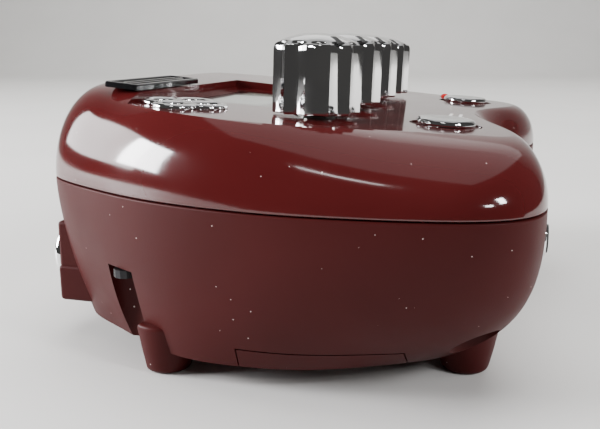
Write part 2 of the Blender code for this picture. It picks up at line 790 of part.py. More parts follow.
def make_power_inlet():
    frame = out_of_back(INLET_X)
    half = INLET_SIDE / 2
    front = -WALL - GAP
    low = (-half, -half, -SOCKET_DEPTH - 0.002)
    inlet = box_part("power_inlet", "black_plastic", low, (half, half, front), frame)
    combine(inlet, rod_cutter("inlet_mouth", INLET_BORE, -SOCKET_DEPTH, 0.01, frame))
    pin = mesh_of("inlet_pin", lambda bm: add_rod(bm, INLET_PIN, -SOCKET_DEPTH - 0.001, front - 0.001, frame, 12))
    combine(inlet, as_cutter("inlet_pin", pin), "UNION")


def make_power_switch():
    """A slide switch: at rest its slider stands at the low X end of its slot."""
    frame = out_of_back(SLIDER_X)
    half_x, half_z = SLIDER_SIZE[0] / 2, SLIDER_SIZE[1] / 2
    rest = -SLIDER_TRAVEL / 2
    back = -WALL - 0.0012
    low = (rest - half_x, -half_z, back)
    box_part("power_slider", "black_plastic", low, (rest + half_x, half_z, SLIDER_PROUD), frame)
    body_x = half_x + SLIDER_TRAVEL
    low = (-body_x, -half_z - 0.0008, back - GAP - 0.005)
    high = (body_x, half_z + 0.0008, back - GAP)
    box_part("power_switch_body", "steel", low, high, frame)


# ---------------------------------------------------------------- battery bay


def make_battery_tray():
    """An open-bottomed tray over the cells, with a rib between the two rows."""
    half_y = 2 * CELL_RADIUS + 3 * GAP + TRAY_WALL
    end_x = tray_end_x()
    floor_z = BOTTOM_Z + WALL + 2 * GAP
    top_z = BOTTOM_Z + WALL + 3 * GAP + 2 * CELL_RADIUS + TRAY_CLEARANCE + TRAY_WALL
    low = (TRAY_START_X, DOOR_Y - half_y, floor_z)
    high = (end_x, DOOR_Y + half_y, top_z)
    tray = box_part("battery_tray", "black_plastic", low, high)
    low = (TRAY_START_X + TRAY_WALL, DOOR_Y - half_y + TRAY_WALL, -0.01)
    high = (end_x - TRAY_WALL, DOOR_Y + half_y - TRAY_WALL, top_z - TRAY_WALL)
    combine(tray, box_cutter("tray_hollow", low, high))


def cell_pitch():
    return CELL_LENGTH + 2 * GAP


def tray_end_x():
    return TRAY_START_X + 2 * TRAY_WALL + 2 * cell_pitch() + 2 * CONTACT_THICKNESS + 3 * GAP


def make_cells():
    """Two rows of two cells, head to tail, and the contact plates at the two ends."""
    centre_z = BOTTOM_Z + WALL + 3 * GAP + CELL_RADIUS
    start = TRAY_START_X + TRAY_WALL + CONTACT_THICKNESS + 2 * GAP
    along_x = Matrix.Rotation(math.pi / 2, 4, "Y")
    number = 0
    for side in (-1, 1):
        for place in (0, 1):
            number += 1
            x = start + GAP + place * cell_pitch() + CELL_LENGTH / 2
            y = DOOR_Y + side * (CELL_RADIUS + GAP / 2)
            turn = along_x if side > 0 else along_x @ Matrix.Rotation(math.pi, 4, "X")
            half = CELL_LENGTH / 2
            neck = half - CELL_NIPPLE
            nipple = CELL_RADIUS * 0.37
            profile = [
                (0.0, half),
                (nipple, half),
                (nipple, neck),
                (CELL_RADIUS, neck),
                (CELL_RADIUS, -half),
                (0.0, -half),
            ]
            turned_part(f"battery_cell_{number}", "cell_wrap", profile, at(x, y, centre_z) @ turn, 20)
    half_y = 2 * CELL_RADIUS + GAP
    low_z = centre_z - CELL_RADIUS + 0.001
    high_z = centre_z + CELL_RADIUS - 0.001
    for name, x in (
        ("battery_contact_near", TRAY_START_X + TRAY_WALL + GAP),
        ("battery_contact_far", tray_end_x() - TRAY_WALL - GAP - CONTACT_THICKNESS),
    ):
        low = (x, DOOR_Y - half_y, low_z)
        high = (x + CONTACT_THICKNESS, DOOR_Y + half_y, high_z)
        box_part(name, "steel", low, high)


# ---------------------------------------------------------------- boards and screws


def board_place(shares):
    """A board's half length and its front and back edges, from its shares of the case's half sizes."""
    along, front, back = shares
    return along * HALF_LENGTH, front * HALF_DEPTH, back * HALF_DEPTH


def make_boards():
    half_x, low_y, high_y = board_place(CONTROL_BOARD_SHARES)
    low = (-half_x, low_y, CONTROL_BOARD_TOP - BOARD_THICKNESS)
    high = (half_x, high_y, CONTROL_BOARD_TOP)
    box_part("control_board", "board_green", low, high, on_panel(0, 0))
    half_x, low_y, high_y = board_place(MAIN_BOARD_SHARES)
    low = (-half_x, low_y, MAIN_BOARD_Z)
    high = (half_x, high_y, MAIN_BOARD_Z + BOARD_THICKNESS)
    box_part("main_board", "board_green", low, high)
    underside = PANEL_Z + CONTROL_BOARD_TOP - BOARD_THICKNESS
    top = underside - 0.0011
    low = (-0.012, -0.0025, MAIN_BOARD_Z + BOARD_THICKNESS + GAP)
    box_part("board_connector", "black_plastic", low, (0.012, 0.0025, top))


def make_screws():
    for number, (x, y) in enumerate(mirrored_spots(POCKETS)):
        head_top = POCKET_TOP_Z - GAP
        head_low = head_top - 0.0018
        profile = [
            (0.0, SCREW_TOP_Z),
            (SCREW_RADIUS, SCREW_TOP_Z - 0.001),
            (SCREW_RADIUS, head_top),
            (SCREW_HEAD_RADIUS, head_top),
            (SCREW_HEAD_RADIUS, head_low),
            (0.0, head_low),
        ]
        turned_part(f"case_screw_{number + 1}", "steel", profile, at(x, y, 0), 12)


def centre_on_origin():
    """Moves everything along Y so that the origin is the middle of the bounding box."""
    shift = -(BACK_MOST + FRONT_MOST) / 2
    for obj in bpy.data.objects:
        obj.matrix_world = at(0, shift, 0) @ obj.matrix_world


def main():
    make_upper_shell()
    make_lower_shell()
    make_battery_door()
    for number, frame in enumerate(knob_frames()):
        make_knob(number + 1, frame, KNOB_LIFT[number])
        make_potentiometer(number + 1, frame)
    for name, spot in BUTTON_SPOTS.items():
        make_button(f"{name}_button", on_panel(*spot), BUTTON_RADIUS, "chrome")
        make_switch(f"{name}_switch", spot)
    make_button("navigation_pad", on_panel(*NAV_SPOT), NAV_RADIUS, "chrome")
    make_switch("navigation_switch", NAV_SPOT)
    make_lamp()
    make_display()
    make_plate()
    make_ornament()
    make_jacks()
    make_usb_socket()
    make_power_inlet()
    make_power_switch()
    make_battery_tray()
    make_cells()
    make_boards()
    make_screws()
    centre_on_origin()


main()
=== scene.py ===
import json
import math

import bmesh
import bpy
import numpy as np
from mathutils import Matrix, Vector


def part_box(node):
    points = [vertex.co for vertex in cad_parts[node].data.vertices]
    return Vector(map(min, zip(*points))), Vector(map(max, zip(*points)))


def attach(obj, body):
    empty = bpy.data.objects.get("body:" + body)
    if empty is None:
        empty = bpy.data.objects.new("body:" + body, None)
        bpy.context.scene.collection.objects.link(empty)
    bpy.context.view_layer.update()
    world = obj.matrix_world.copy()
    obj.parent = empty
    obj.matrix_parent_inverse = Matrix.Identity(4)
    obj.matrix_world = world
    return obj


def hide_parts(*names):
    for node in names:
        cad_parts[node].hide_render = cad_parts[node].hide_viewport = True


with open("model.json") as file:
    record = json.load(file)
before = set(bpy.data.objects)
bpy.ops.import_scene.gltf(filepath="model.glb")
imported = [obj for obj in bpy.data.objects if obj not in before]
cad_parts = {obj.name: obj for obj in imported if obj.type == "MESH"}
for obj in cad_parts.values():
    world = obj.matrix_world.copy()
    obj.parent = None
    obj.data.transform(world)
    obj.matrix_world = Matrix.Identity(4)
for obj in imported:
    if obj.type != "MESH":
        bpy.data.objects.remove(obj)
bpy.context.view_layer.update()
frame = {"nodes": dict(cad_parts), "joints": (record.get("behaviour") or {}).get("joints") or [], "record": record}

# The pocket effects unit as it looks: metres, +Z up, X along the knob row, +Y the jack panel.

NODES = frame["nodes"]
BODY_OF = {node: body for body, members in frame["record"]["behaviour"]["bodies"].items() for node in members}
JOINTS = {joint["name"]: joint for joint in frame["joints"]}


def corners(node):
    """The lowest and highest corner of a CAD node, as arrays."""
    low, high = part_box(node)
    return np.array(low), np.array(high)


def middle(node):
    low, high = corners(node)
    return (low + high) / 2


CASE_LOW, CASE_HIGH = corners("upper_shell")
HALF_LENGTH, HALF_DEPTH = (CASE_HIGH - CASE_LOW)[:2] / 2
MIDDLE_Y = (CASE_HIGH[1] + CASE_LOW[1]) / 2
WALL = 0.0022
GAP = 0.0003
SEAM_ROUND = 0.00035
PARTING_Z = CASE_LOW[2] - GAP / 2
BOTTOM_Z = 0.0055
RIM_Z = 0.0587
RIM_SLOPE = 0.095
PANEL_Z = 0.0574
PANEL_SLOPE = 0.066
ROOF = 0.00285
RIM_EDGE_Y = 0.0315
DECK_EDGE_X = 0.0155
DECK_EDGE_Y = 0.0185
SIDE_TAPER_BACK = 1.6
SIDE_TAPER_FRONT = 2.9
DOME_END = math.radians(84)

FEET = ((0.779, 0.370), (0.545, -0.745))
POCKETS = ((0.816, 0.508), (0.735, -0.785))
FOOT_RADIUS = 0.0064
FOOT_TIP_RADIUS = 0.0052
POCKET_RADIUS = 0.0050
POCKET_TOP_Z = 0.024
BOSS_RADIUS = 0.0065
SCREW_BORE = 0.0016
SLIDER_TRAVEL = 0.0022
JACK_PANEL_HALF = 0.0485
JACK_PANEL_LOW = 0.0090
JACK_PANEL_HIGH = 0.0295
JACK_BARREL = 0.0045
JACK_BORE = 0.0033
JACK_PROUD = 0.0031
JACK_DEPTH = 0.027
JACK_BODY = 0.0072
THREAD_PITCH = 0.0005

KNOB_RADIUS = 0.0099
KNOB_HEIGHT = 0.0172
KNOB_DOME = 0.0026
KNOB_FLUTES = 12
FLUTE_DEPTH = 0.0012
KNOB_LIFT = (0.0008, 0.0012, 0.0012, 0.0008)
KNOB_SLOPE = 0.030

BUTTON_RECESS_RADIUS = 0.0081
PAD_RECESS_RADIUS = 0.0088
BUTTON_RECESS = 0.0009
BUTTON_RISE = 0.0015
BUTTON_BORE = 0.0025
LAMP_RADIUS = 0.0015
DISPLAY_SIZE = (0.038, 0.020)
DISPLAY_THICKNESS = 0.0014
DISPLAY_LEDGE = 0.0025
PLATE_SIZE = (0.036, 0.0088)
ORNAMENT_RING = 0.0052
ORNAMENT_HOLE = 0.0031
ORNAMENT_OFFSET = 0.0050

PARTING_OUTLINE = (
    (0.0, 1.0),
    (0.395, 1.0),
    (0.632, 0.941),
    (0.79, 0.678),
    (0.914, 0.356),
    (0.98, 0.034),
    (1.0, -0.237),
    (0.984, -0.550),
    (0.935, -0.825),
    (0.790, -1.0),
    (0.455, -0.965),
    (0.0, -0.797),
)
CROWN_OUTLINE = (
    (0.0, 0.78),
    (0.36, 0.78),
    (0.53, 0.71),
    (0.625, 0.485),
    (0.745, 0.27),
    (0.785, 0.03),
    (0.745, -0.19),
    (0.670, -0.41),
    (0.645, -0.66),
    (0.595, -0.835),
    (0.40, -0.825),
    (0.0, -0.69),
)
BOTTOM_OUTLINE = (
    (0.0, 0.898),
    (0.382, 0.898),
    (0.592, 0.831),
    (0.717, 0.61),
    (0.855, 0.305),
    (0.882, 0.017),
    (0.849, -0.237),
    (0.75, -0.508),
    (0.651, -0.686),
    (0.526, -0.763),
    (0.316, -0.746),
    (0.0, -0.644),
)
SPAN_STEPS = 12


# ---------------------------------------------------------------- surfaces


def outline(shares, steps=SPAN_STEPS):
    """A closed outline, N x 2. Formula: the periodic cubic spline through the half outline and its
    mirror image. Its tangents m solve m[i-1] + 4 m[i] + m[i+1] = 3 (p[i+1] - p[i-1]), and each span is
    the Hermite cubic of its two ends and tangents."""
    half = np.array(shares)
    knots = np.concatenate([half, half[-2:0:-1] * (-1, 1)])
    count = len(knots)
    shift = np.roll(np.eye(count), 1, axis=1)
    matrix = 4 * np.eye(count) + shift + shift.T
    tangents = np.linalg.solve(matrix, 3 * (np.roll(knots, -1, axis=0) - np.roll(knots, 1, axis=0)))
    t = (np.arange(steps) / steps)[None, :, None]
    p0, p1 = knots[:, None], np.roll(knots, -1, axis=0)[:, None]
    m0, m1 = tangents[:, None], np.roll(tangents, -1, axis=0)[:, None]
    points = (
        (2 * t**3 - 3 * t**2 + 1) * p0
        + (t**3 - 2 * t**2 + t) * m0
        + (3 * t**2 - 2 * t**3) * p1
        + (t**3 - t**2) * m1
    )
    return points.reshape(-1, 2)[::-1]


def parting_outline():
    """The widest outline in metres, scaled to the case's exact length and depth."""
    points = outline(PARTING_OUTLINE)
    low, high = points.min(axis=0), points.max(axis=0)
    return (points - (low + high) / 2) * (2 * HALF_LENGTH, 2 * HALF_DEPTH) / (high - low)


def sized(shares):
    return outline(shares) * (HALF_LENGTH, HALF_DEPTH)


def drawn_in(points, inset):
    return points * (1 - inset / HALF_LENGTH, 1 - inset / HALF_DEPTH)


def level_ring(points, z):
    return np.column_stack([points, np.full(len(points), z)])


def seam_rings(wide, z, way, rounding):
    """The small quarter round at the seam, from the flat joint face out to the widest line."""
    rings = []
    for angle in np.linspace(0, math.pi / 2, 5)[:-1]:
        edge = drawn_in(wide, rounding * (1 - math.sin(angle)))
        rings.append(level_ring(edge, z + way * rounding * (1 - math.cos(angle))))
    return rings


def dome_rings(inset, bottom, top_z, top_slope, steps, rounding=0.0):
    """The upper shell. Formula: at angle a the outline has gone 1 - cos a of the way from the widest
    outline to the crown outline, and its height above the seam is the top plane's there times
    sin a / sin DOME_END, so that the side is a quarter ellipse."""
    wide = drawn_in(parting_outline(), inset)
    crown = drawn_in(sized(CROWN_OUTLINE), inset)
    rings = seam_rings(wide, bottom, 1, rounding) if rounding else [level_ring(wide, bottom)]
    start = bottom + rounding
    for angle in np.linspace(0, DOME_END, steps)[0 if rounding else 1 :]:
        ring = wide + (crown - wide) * (1 - math.cos(angle))
        share = math.sin(angle) / math.sin(DOME_END)
        z = PARTING_Z + (top_z + top_slope * ring[:, 1] - PARTING_Z) * share
        rings.append(np.column_stack([ring, np.maximum(z, start) if rounding else z]))
    return rings


def bowl_rings(inset, top, floor, steps, rounding=0.0, heel=0.002):
    """The lower shell. Formula: at depth share u the outline has gone u to a power of the way from the
    widest outline to the bottom one; the power grows from SIDE_TAPER_BACK to SIDE_TAPER_FRONT towards
    the front. A last ring is drawn in by heel at the floor."""
    wide = drawn_in(parting_outline(), inset)
    low = drawn_in(sized(BOTTOM_OUTLINE), inset)
    forward = (1 - wide[:, 1:] / HALF_DEPTH) / 2
    power = SIDE_TAPER_BACK + (SIDE_TAPER_FRONT - SIDE_TAPER_BACK) * forward
    rings = seam_rings(wide, top, -1, rounding) if rounding else [level_ring(wide, top)]
    start = PARTING_Z - GAP / 2 - rounding
    for level in 1 - (1 - np.linspace(0, 0.985, steps)) ** 1.3:
        rings.append(level_ring(wide + (low - wide) * level**power, start - level * (start - floor)))
    foot, low_z = rings[-1][:, :2], rings[-1][0, 2]
    for angle in np.linspace(0, math.pi / 2, 5)[1:]:
        ring = drawn_in(foot + (low - foot) * math.sin(angle), heel * (1 - math.cos(angle)))
        rings.append(level_ring(ring, low_z + (floor - low_z) * math.sin(angle)))
    return rings


def loft_mesh(name, rings, moved=True):
    """A closed solid through rings, all with the same number of points, with a flat face at each end."""
    count, rows = len(rings[0]), len(rings)
    points = np.concatenate(rings)
    if moved:
        points = points + (0, MIDDLE_Y, 0)
    row, col = np.meshgrid(np.arange(rows - 1), np.arange(count), indexing="ij")
    here, along = row * count + col, row * count + (col + 1) % count
    quads = np.stack([here, along, along + count, here + count], axis=-1).reshape(-1, 4).tolist()
    ends = [list(range(count))[::-1], [(rows - 1) * count + i for i in range(count)]]
    mesh = bpy.data.meshes.new(name)
    mesh.from_pydata(points.tolist(), [], quads + ends)
    return outward(mesh)


def outward(mesh):
    """Doubles merged and every face turned to point out."""
    bm = bmesh.new()
    bm.from_mesh(mesh)
    bmesh.ops.remove_doubles(bm, verts=bm.verts, dist=0.000001)
    bmesh.ops.recalc_face_normals(bm, faces=bm.faces)
    bm.to_mesh(mesh)
    bm.free()
    return mesh


def softened(profile, radius, steps=4):
    """A profile with each inner corner rounded. Formula: a quadratic curve whose ends lie radius, or at
    most 0.45 of the run, from the corner."""
    points = np.array(profile, float)
    out = [points[0]]
    t = np.linspace(0, 1, steps + 1)[:, None]
    for before, corner, after in zip(points[:-2], points[1:-1], points[2:]):
        back, on = before - corner, after - corner
        a = corner + back * min(radius / max(np.linalg.norm(back), 1e-9), 0.45)
        b = corner + on * min(radius / max(np.linalg.norm(on), 1e-9), 0.45)
        out.extend((1 - t) ** 2 * a + 2 * t * (1 - t) * corner + t**2 * b)
    out.append(points[-1])
    return np.array(out)


def turned_mesh(name, profile, place, steps=72, wave=None):
    """A turned solid. Formula: the point at angle a and profile step i lies at radius r[i] cos a,
    r[i] sin a and height z[i], with r dipped by wave(a) where a wave is given."""
    r, z = np.array(profile, float).T
    a = np.arange(steps) * 2 * math.pi / steps
    radius = r[:, None] * np.ones(steps) if wave is None else wave(r, z, a)
    points = np.stack([radius * np.cos(a), radius * np.sin(a), z[:, None] * np.ones(steps)], axis=-1)
    mesh = loft_mesh(name, list(points), moved=False)
    mesh.transform(place)
    return mesh


def box_mesh(name, low, high, place=None, bevel=0.0, segments=3):
    bm = bmesh.new()
    size = np.array(high) - np.array(low)
    centre = (np.array(high) + np.array(low)) / 2
    matrix = Matrix.Translation(centre) @ Matrix.Diagonal((*size, 1))
    bmesh.ops.create_cube(bm, size=1.0, matrix=matrix)
    if bevel:
        bmesh.ops.bevel(
            bm, geom=bm.edges[:], offset=bevel, segments=segments, affect="EDGES", profile=0.5
        )
    mesh = bpy.data.meshes.new(name)
    bm.to_mesh(mesh)
    bm.free()
    if place is not None:
        mesh.transform(place)
    return mesh


def joined(name, meshes):
    """Several meshes as one, each kept as its own closed shell."""
    bm = bmesh.new()
    for mesh in meshes:
        bm.from_mesh(mesh)
        bpy.data.meshes.remove(mesh)
    whole = bpy.data.meshes.new(name)
    bm.to_mesh(whole)
    bm.free()
    return whole


# ---------------------------------------------------------------- places


def shifted(x, y, z):
    return Matrix.Translation((x, y, z))


def on_panel(x, y):
    """The frame of a piece on the top panel; x and y are world places."""
    z = PANEL_Z + PANEL_SLOPE * (y - MIDDLE_Y)
    return shifted(x, y, z) @ Matrix.Rotation(math.atan(PANEL_SLOPE), 4, "X")


def on_rim(x, y):
    z = RIM_Z + RIM_SLOPE * (y - MIDDLE_Y)
    return shifted(x, y, z) @ Matrix.Rotation(math.atan(RIM_SLOPE), 4, "X")


def out_of_back(node):
    """The frame at a jack's middle whose Z points out of the jack panel."""
    x, _, z = middle(node)
    return shifted(x, jack_panel_y(), z) @ Matrix.Rotation(-math.pi / 2, 4, "X")


def jack_panel_y():
    return MIDDLE_Y + HALF_DEPTH - 0.0023


def out_of_front(node):
    x, _, z = middle(node)
    return shifted(x, MIDDLE_Y - HALF_DEPTH + 0.0010, z) @ Matrix.Rotation(math.pi / 2, 4, "X")


def knob_place(number):
    """The knobs lean a little less than the panel that they stand over."""
    x, y, _ = JOINTS[f"knob_{number}_turn"]["pos_m"]
    z = PANEL_Z + PANEL_SLOPE * (y - MIDDLE_Y)
    return shifted(x, y, z) @ Matrix.Rotation(math.atan(KNOB_SLOPE), 4, "X")


def mirrored(shares):
    return [(side * x * HALF_LENGTH, MIDDLE_Y + y * HALF_DEPTH) for x, y in shares for side in (-1, 1)]


# ---------------------------------------------------------------- materials


def new_group(name, outputs, inputs):
    group = bpy.data.node_groups.new(name, "ShaderNodeTree")
    for label, kind in outputs:
        group.interface.new_socket(label, in_out="OUTPUT", socket_type=kind)
    for label, kind, value in inputs:
        socket = group.interface.new_socket(label, in_out="INPUT", socket_type=kind)
        if value is not None:
            socket.default_value = value
    return group, group.nodes.new("NodeGroupInput"), group.nodes.new("NodeGroupOutput")


def node(tree, kind, **values):
    """A new node, with sockets set by name or number and attributes by name."""
    made = tree.nodes.new(kind)
    for key, value in values.items():
        if hasattr(made, key):
            setattr(made, key, value)
        else:
            made.inputs[key.replace("_", " ")].default_value = value
    return made


def ramp(tree, source, stops):
    """A colour ramp with the given (place, grey or colour) stops."""
    made = tree.nodes.new("ShaderNodeValToRGB")
    tree.links.new(source, made.inputs[0])
    elements = made.color_ramp.elements
    while len(elements) < len(stops):
        elements.new(0.5)
    for element, (place, value) in zip(elements, stops):
        element.position = place
        element.color = (value, value, value, 1) if isinstance(value, (int, float)) else (*value, 1)
    return made.outputs[0]


def speck_group():
    """Sparse dust: cells of a Voronoi pattern whose random colour passes a threshold, kept near each
    cell's centre, at a fine and a coarse scale."""
    group, entry, exit_ = new_group(
        "dust_specks",
        [("Mask", "NodeSocketFloat")],
        [
            ("Vector", "NodeSocketVector", None),
            ("Scale", "NodeSocketFloat", 850.0),
            ("Share", "NodeSocketFloat", 0.05),
            ("Size", "NodeSocketFloat", 0.11),
        ],
    )
    links = group.links
    masks = []
    for factor in (1.0, 0.37):
        scale = node(group, "ShaderNodeMath", operation="MULTIPLY")
        scale.inputs[1].default_value = factor
        links.new(entry.outputs["Scale"], scale.inputs[0])
        cells = node(group, "ShaderNodeTexVoronoi", feature="F1")
        links.new(entry.outputs["Vector"], cells.inputs["Vector"])
        links.new(scale.outputs[0], cells.inputs["Scale"])
        split = node(group, "ShaderNodeSeparateColor")
        links.new(cells.outputs["Color"], split.inputs[0])
        chosen = node(group, "ShaderNodeMath", operation="LESS_THAN")
        links.new(split.outputs[0], chosen.inputs[0])
        share = node(group, "ShaderNodeMath", operation="MULTIPLY")
        share.inputs[1].default_value = 1.0 if factor == 1.0 else 0.35
        links.new(entry.outputs["Share"], share.inputs[0])
        links.new(share.outputs[0], chosen.inputs[1])
        size = node(group, "ShaderNodeMath", operation="MULTIPLY")
        size.inputs[1].default_value = 1.0 if factor == 1.0 else 0.6
        links.new(entry.outputs["Size"], size.inputs[0])
        near = node(group, "ShaderNodeMath", operation="LESS_THAN")
        links.new(cells.outputs["Distance"], near.inputs[0])
        links.new(size.outputs[0], near.inputs[1])
        both = node(group, "ShaderNodeMath", operation="MULTIPLY")
        links.new(chosen.outputs[0], both.inputs[0])
        links.new(near.outputs[0], both.inputs[1])
        masks.append(both.outputs[0])
    most = node(group, "ShaderNodeMath", operation="MAXIMUM")
    links.new(masks[0], most.inputs[0])
    links.new(masks[1], most.inputs[1])
    links.new(most.outputs[0], exit_.inputs["Mask"])
    return group


def smudge_group():
    """Handling marks: two octaves of soft noise stretched between a low and a high roughness."""
    group, entry, exit_ = new_group(
        "handling_marks",
        [("Roughness", "NodeSocketFloat")],
        [
            ("Vector", "NodeSocketVector", None),
            ("Scale", "NodeSocketFloat", 60.0),
            ("Low", "NodeSocketFloat", 0.1),
            ("High", "NodeSocketFloat", 0.2),
        ],
    )
    noise = node(group, "ShaderNodeTexNoise", Detail=3.0, Roughness=0.55)
    group.links.new(entry.outputs["Vector"], noise.inputs["Vector"])
    group.links.new(entry.outputs["Scale"], noise.inputs["Scale"])
    spread = node(group, "ShaderNodeMapRange")
    spread.inputs["From Min"].default_value = 0.3
    spread.inputs["From Max"].default_value = 0.7
    group.links.new(noise.outputs[0], spread.inputs["Value"])
    group.links.new(entry.outputs["Low"], spread.inputs["To Min"])
    group.links.new(entry.outputs["High"], spread.inputs["To Max"])
    group.links.new(spread.outputs[0], exit_.inputs["Roughness"])
    return group


SPECKS = speck_group()
SMUDGES = smudge_group()


def use_group(tree, group, coordinates, **values):
    made = tree.nodes.new("ShaderNodeGroup")
    made.node_tree = group
    tree.links.new(coordinates, made.inputs["Vector"])
    for key, value in values.items():
        made.inputs[key].default_value = value
    return made.outputs[0]


def blank_material(name):
    material = bpy.data.materials.new(name)
    material.use_nodes = True
    tree = material.node_tree
    shader = tree.nodes["Principled BSDF"]
    coordinates = tree.nodes.new("ShaderNodeTexCoord").outputs["Object"]
    return material, tree, shader, coordinates


def two_tone(tree, coordinates, dark, light, scale, low=0.35, high=0.65):
    """A base colour that drifts between two close tones."""
    noise = node(tree, "ShaderNodeTexNoise", Scale=scale, Detail=2.0)
    tree.links.new(coordinates, noise.inputs["Vector"])
    return ramp(tree, noise.outputs[0], [(low, dark), (high, light)])


def over(tree, base, top, mask):
    """The top colour over the base where the mask is 1."""
    mix = node(tree, "ShaderNodeMix", data_type="RGBA")
    tree.links.new(mask, mix.inputs[0])
    tree.links.new(base, mix.inputs[6])
    mix.inputs[7].default_value = (*top, 1)
    return mix.outputs[2]


def grain_bump(tree, shader, coordinates, scale, strength, distance, detail=2.0):
    noise = node(tree, "ShaderNodeTexNoise", Scale=scale, Detail=detail)
    tree.links.new(coordinates, noise.inputs["Vector"])
    bump = node(tree, "ShaderNodeBump", Strength=strength, Distance=distance)
    tree.links.new(noise.outputs[0], bump.inputs["Height"])
    tree.links.new(bump.outputs[0], shader.inputs["Normal"])


DUST_COLOUR = (0.62, 0.52, 0.5)


def moulded(name, dark, light, low, high, grain, strength, share=0.05, coat=0.0, ior=1.5):
    """Moulded plastic: drifting tone, handling marks in the gloss, fine grain and a few dust specks."""
    material, tree, shader, coordinates = blank_material(name)
    tone = two_tone(tree, coordinates, dark, light, 28.0)
    dust = use_group(tree, SPECKS, coordinates, Share=share)
    tree.links.new(over(tree, tone, DUST_COLOUR, dust), shader.inputs["Base Color"])
    marks = use_group(tree, SMUDGES, coordinates, Low=low, High=high)
    rough = node(tree, "ShaderNodeMath", operation="MAXIMUM")
    tree.links.new(marks, rough.inputs[0])
    tree.links.new(dust, rough.inputs[1])
    tree.links.new(rough.outputs[0], shader.inputs["Roughness"])
    shader.inputs["Coat Weight"].default_value = coat
    shader.inputs["Coat Roughness"].default_value = 0.04
    shader.inputs["IOR"].default_value = ior
    grain_bump(tree, shader, coordinates, grain, strength, 0.0001)
    return material


def metal(name, dark, light, low, high, grain=900.0, strength=0.02):
    """Plated metal: tone and gloss drift with handling, and a fine ripple breaks the reflections."""
    material, tree, shader, coordinates = blank_material(name)
    tree.links.new(two_tone(tree, coordinates, dark, light, 90.0), shader.inputs["Base Color"])
    shader.inputs["Metallic"].default_value = 1.0
    marks = use_group(tree, SMUDGES, coordinates, Scale=160.0, Low=low, High=high)
    tree.links.new(marks, shader.inputs["Roughness"])
    grain_bump(tree, shader, coordinates, grain, strength, 0.00005)
    return material


def inside_box(tree, coordinates, low, high):
    """A mask that is 1 where X and Y of the coordinates lie between low and high."""
    split = node(tree, "ShaderNodeSeparateXYZ")
    tree.links.new(coordinates, split.inputs[0])
    found = None
    for axis in (0, 1):
        for edge, operation in ((low[axis], "GREATER_THAN"), (high[axis], "LESS_THAN")):
            test = node(tree, "ShaderNodeMath", operation=operation)
            tree.links.new(split.outputs[axis], test.inputs[0])
            test.inputs[1].default_value = edge
            if found is None:
                found = test.outputs[0]
                continue
            both = node(tree, "ShaderNodeMath", operation="MULTIPLY")
            tree.links.new(found, both.inputs[0])
            tree.links.new(test.outputs[0], both.inputs[1])
            found = both.outputs[0]
    return found


def display_material():
    """A grey-green display behind a clear window, with a dark printed border and a faint cell grid."""
    material, tree, shader, coordinates = blank_material("display_window_glass")
    x, y, _ = middle("display_window")
    margin = DISPLAY_LEDGE + 0.0004
    half_x, half_y = DISPLAY_SIZE[0] / 2 - margin, DISPLAY_SIZE[1] / 2 - margin
    tone = two_tone(tree, coordinates, (0.20, 0.235, 0.20), (0.25, 0.285, 0.245), 70.0)
    grid = node(tree, "ShaderNodeTexBrick", Scale=1.0)
    grid.offset = 0.0
    grid.inputs["Color1"].default_value = (0.20, 0.24, 0.20, 1)
    grid.inputs["Color2"].default_value = (0.215, 0.255, 0.215, 1)
    grid.inputs["Mortar"].default_value = (0.28, 0.32, 0.28, 1)
    grid.inputs["Mortar Size"].default_value = 0.00006
    grid.inputs["Brick Width"].default_value = 0.0006
    grid.inputs["Row Height"].default_value = 0.0006
    tree.links.new(coordinates, grid.inputs["Vector"])
    mix = node(tree, "ShaderNodeMix", data_type="RGBA")
    mix.inputs[0].default_value = 0.6
    tree.links.new(tone, mix.inputs[6])
    tree.links.new(grid.outputs[0], mix.inputs[7])
    border = (0.012, 0.013, 0.012)
    mask = inside_box(tree, coordinates, (x - half_x, y - half_y), (x + half_x, y + half_y))
    out = node(tree, "ShaderNodeMix", data_type="RGBA")
    out.inputs[6].default_value = (*border, 1)
    tree.links.new(mask, out.inputs[0])
    tree.links.new(mix.outputs[2], out.inputs[7])
    tree.links.new(out.outputs[2], shader.inputs["Base Color"])
    marks = use_group(tree, SMUDGES, coordinates, Low=0.03, High=0.12)
    tree.links.new(marks, shader.inputs["Roughness"])
    shader.inputs["Coat Weight"].default_value = 0.6
    return material


def board_material():
    """Green solder resist with lighter copper runs showing through as stepped stripes."""
    material, tree, shader, coordinates = blank_material("circuit_board_green")
    runs = node(tree, "ShaderNodeTexBrick", Scale=1.0)
    runs.inputs["Color1"].default_value = (0.012, 0.09, 0.035, 1)
    runs.inputs["Color2"].default_value = (0.016, 0.11, 0.045, 1)
    runs.inputs["Mortar"].default_value = (0.05, 0.2, 0.08, 1)
    runs.inputs["Mortar Size"].default_value = 0.0003
    runs.inputs["Brick Width"].default_value = 0.009
    runs.inputs["Row Height"].default_value = 0.0021
    tree.links.new(coordinates, runs.inputs["Vector"])
    tree.links.new(runs.outputs[0], shader.inputs["Base Color"])
    marks = use_group(tree, SMUDGES, coordinates, Low=0.25, High=0.45)
    tree.links.new(marks, shader.inputs["Roughness"])
    return material


def cell_material():
    """Film-wrapped cell: a dark body with a copper-coloured end band."""
    material, tree, shader, coordinates = blank_material("cell_wrap_film")
    wave = node(tree, "ShaderNodeTexWave", Scale=3.55, wave_type="BANDS", bands_direction="X")
    tree.links.new(coordinates, wave.inputs["Vector"])
    film = [(0.0, (0.02, 0.02, 0.024)), (0.78, (0.03, 0.03, 0.035)), (0.8, (0.45, 0.2, 0.07))]
    tone = ramp(tree, wave.outputs[1], film)
    tree.links.new(tone, shader.inputs["Base Color"])
    marks = use_group(tree, SMUDGES, coordinates, Low=0.22, High=0.4)
    tree.links.new(marks, shader.inputs["Roughness"])
    return material


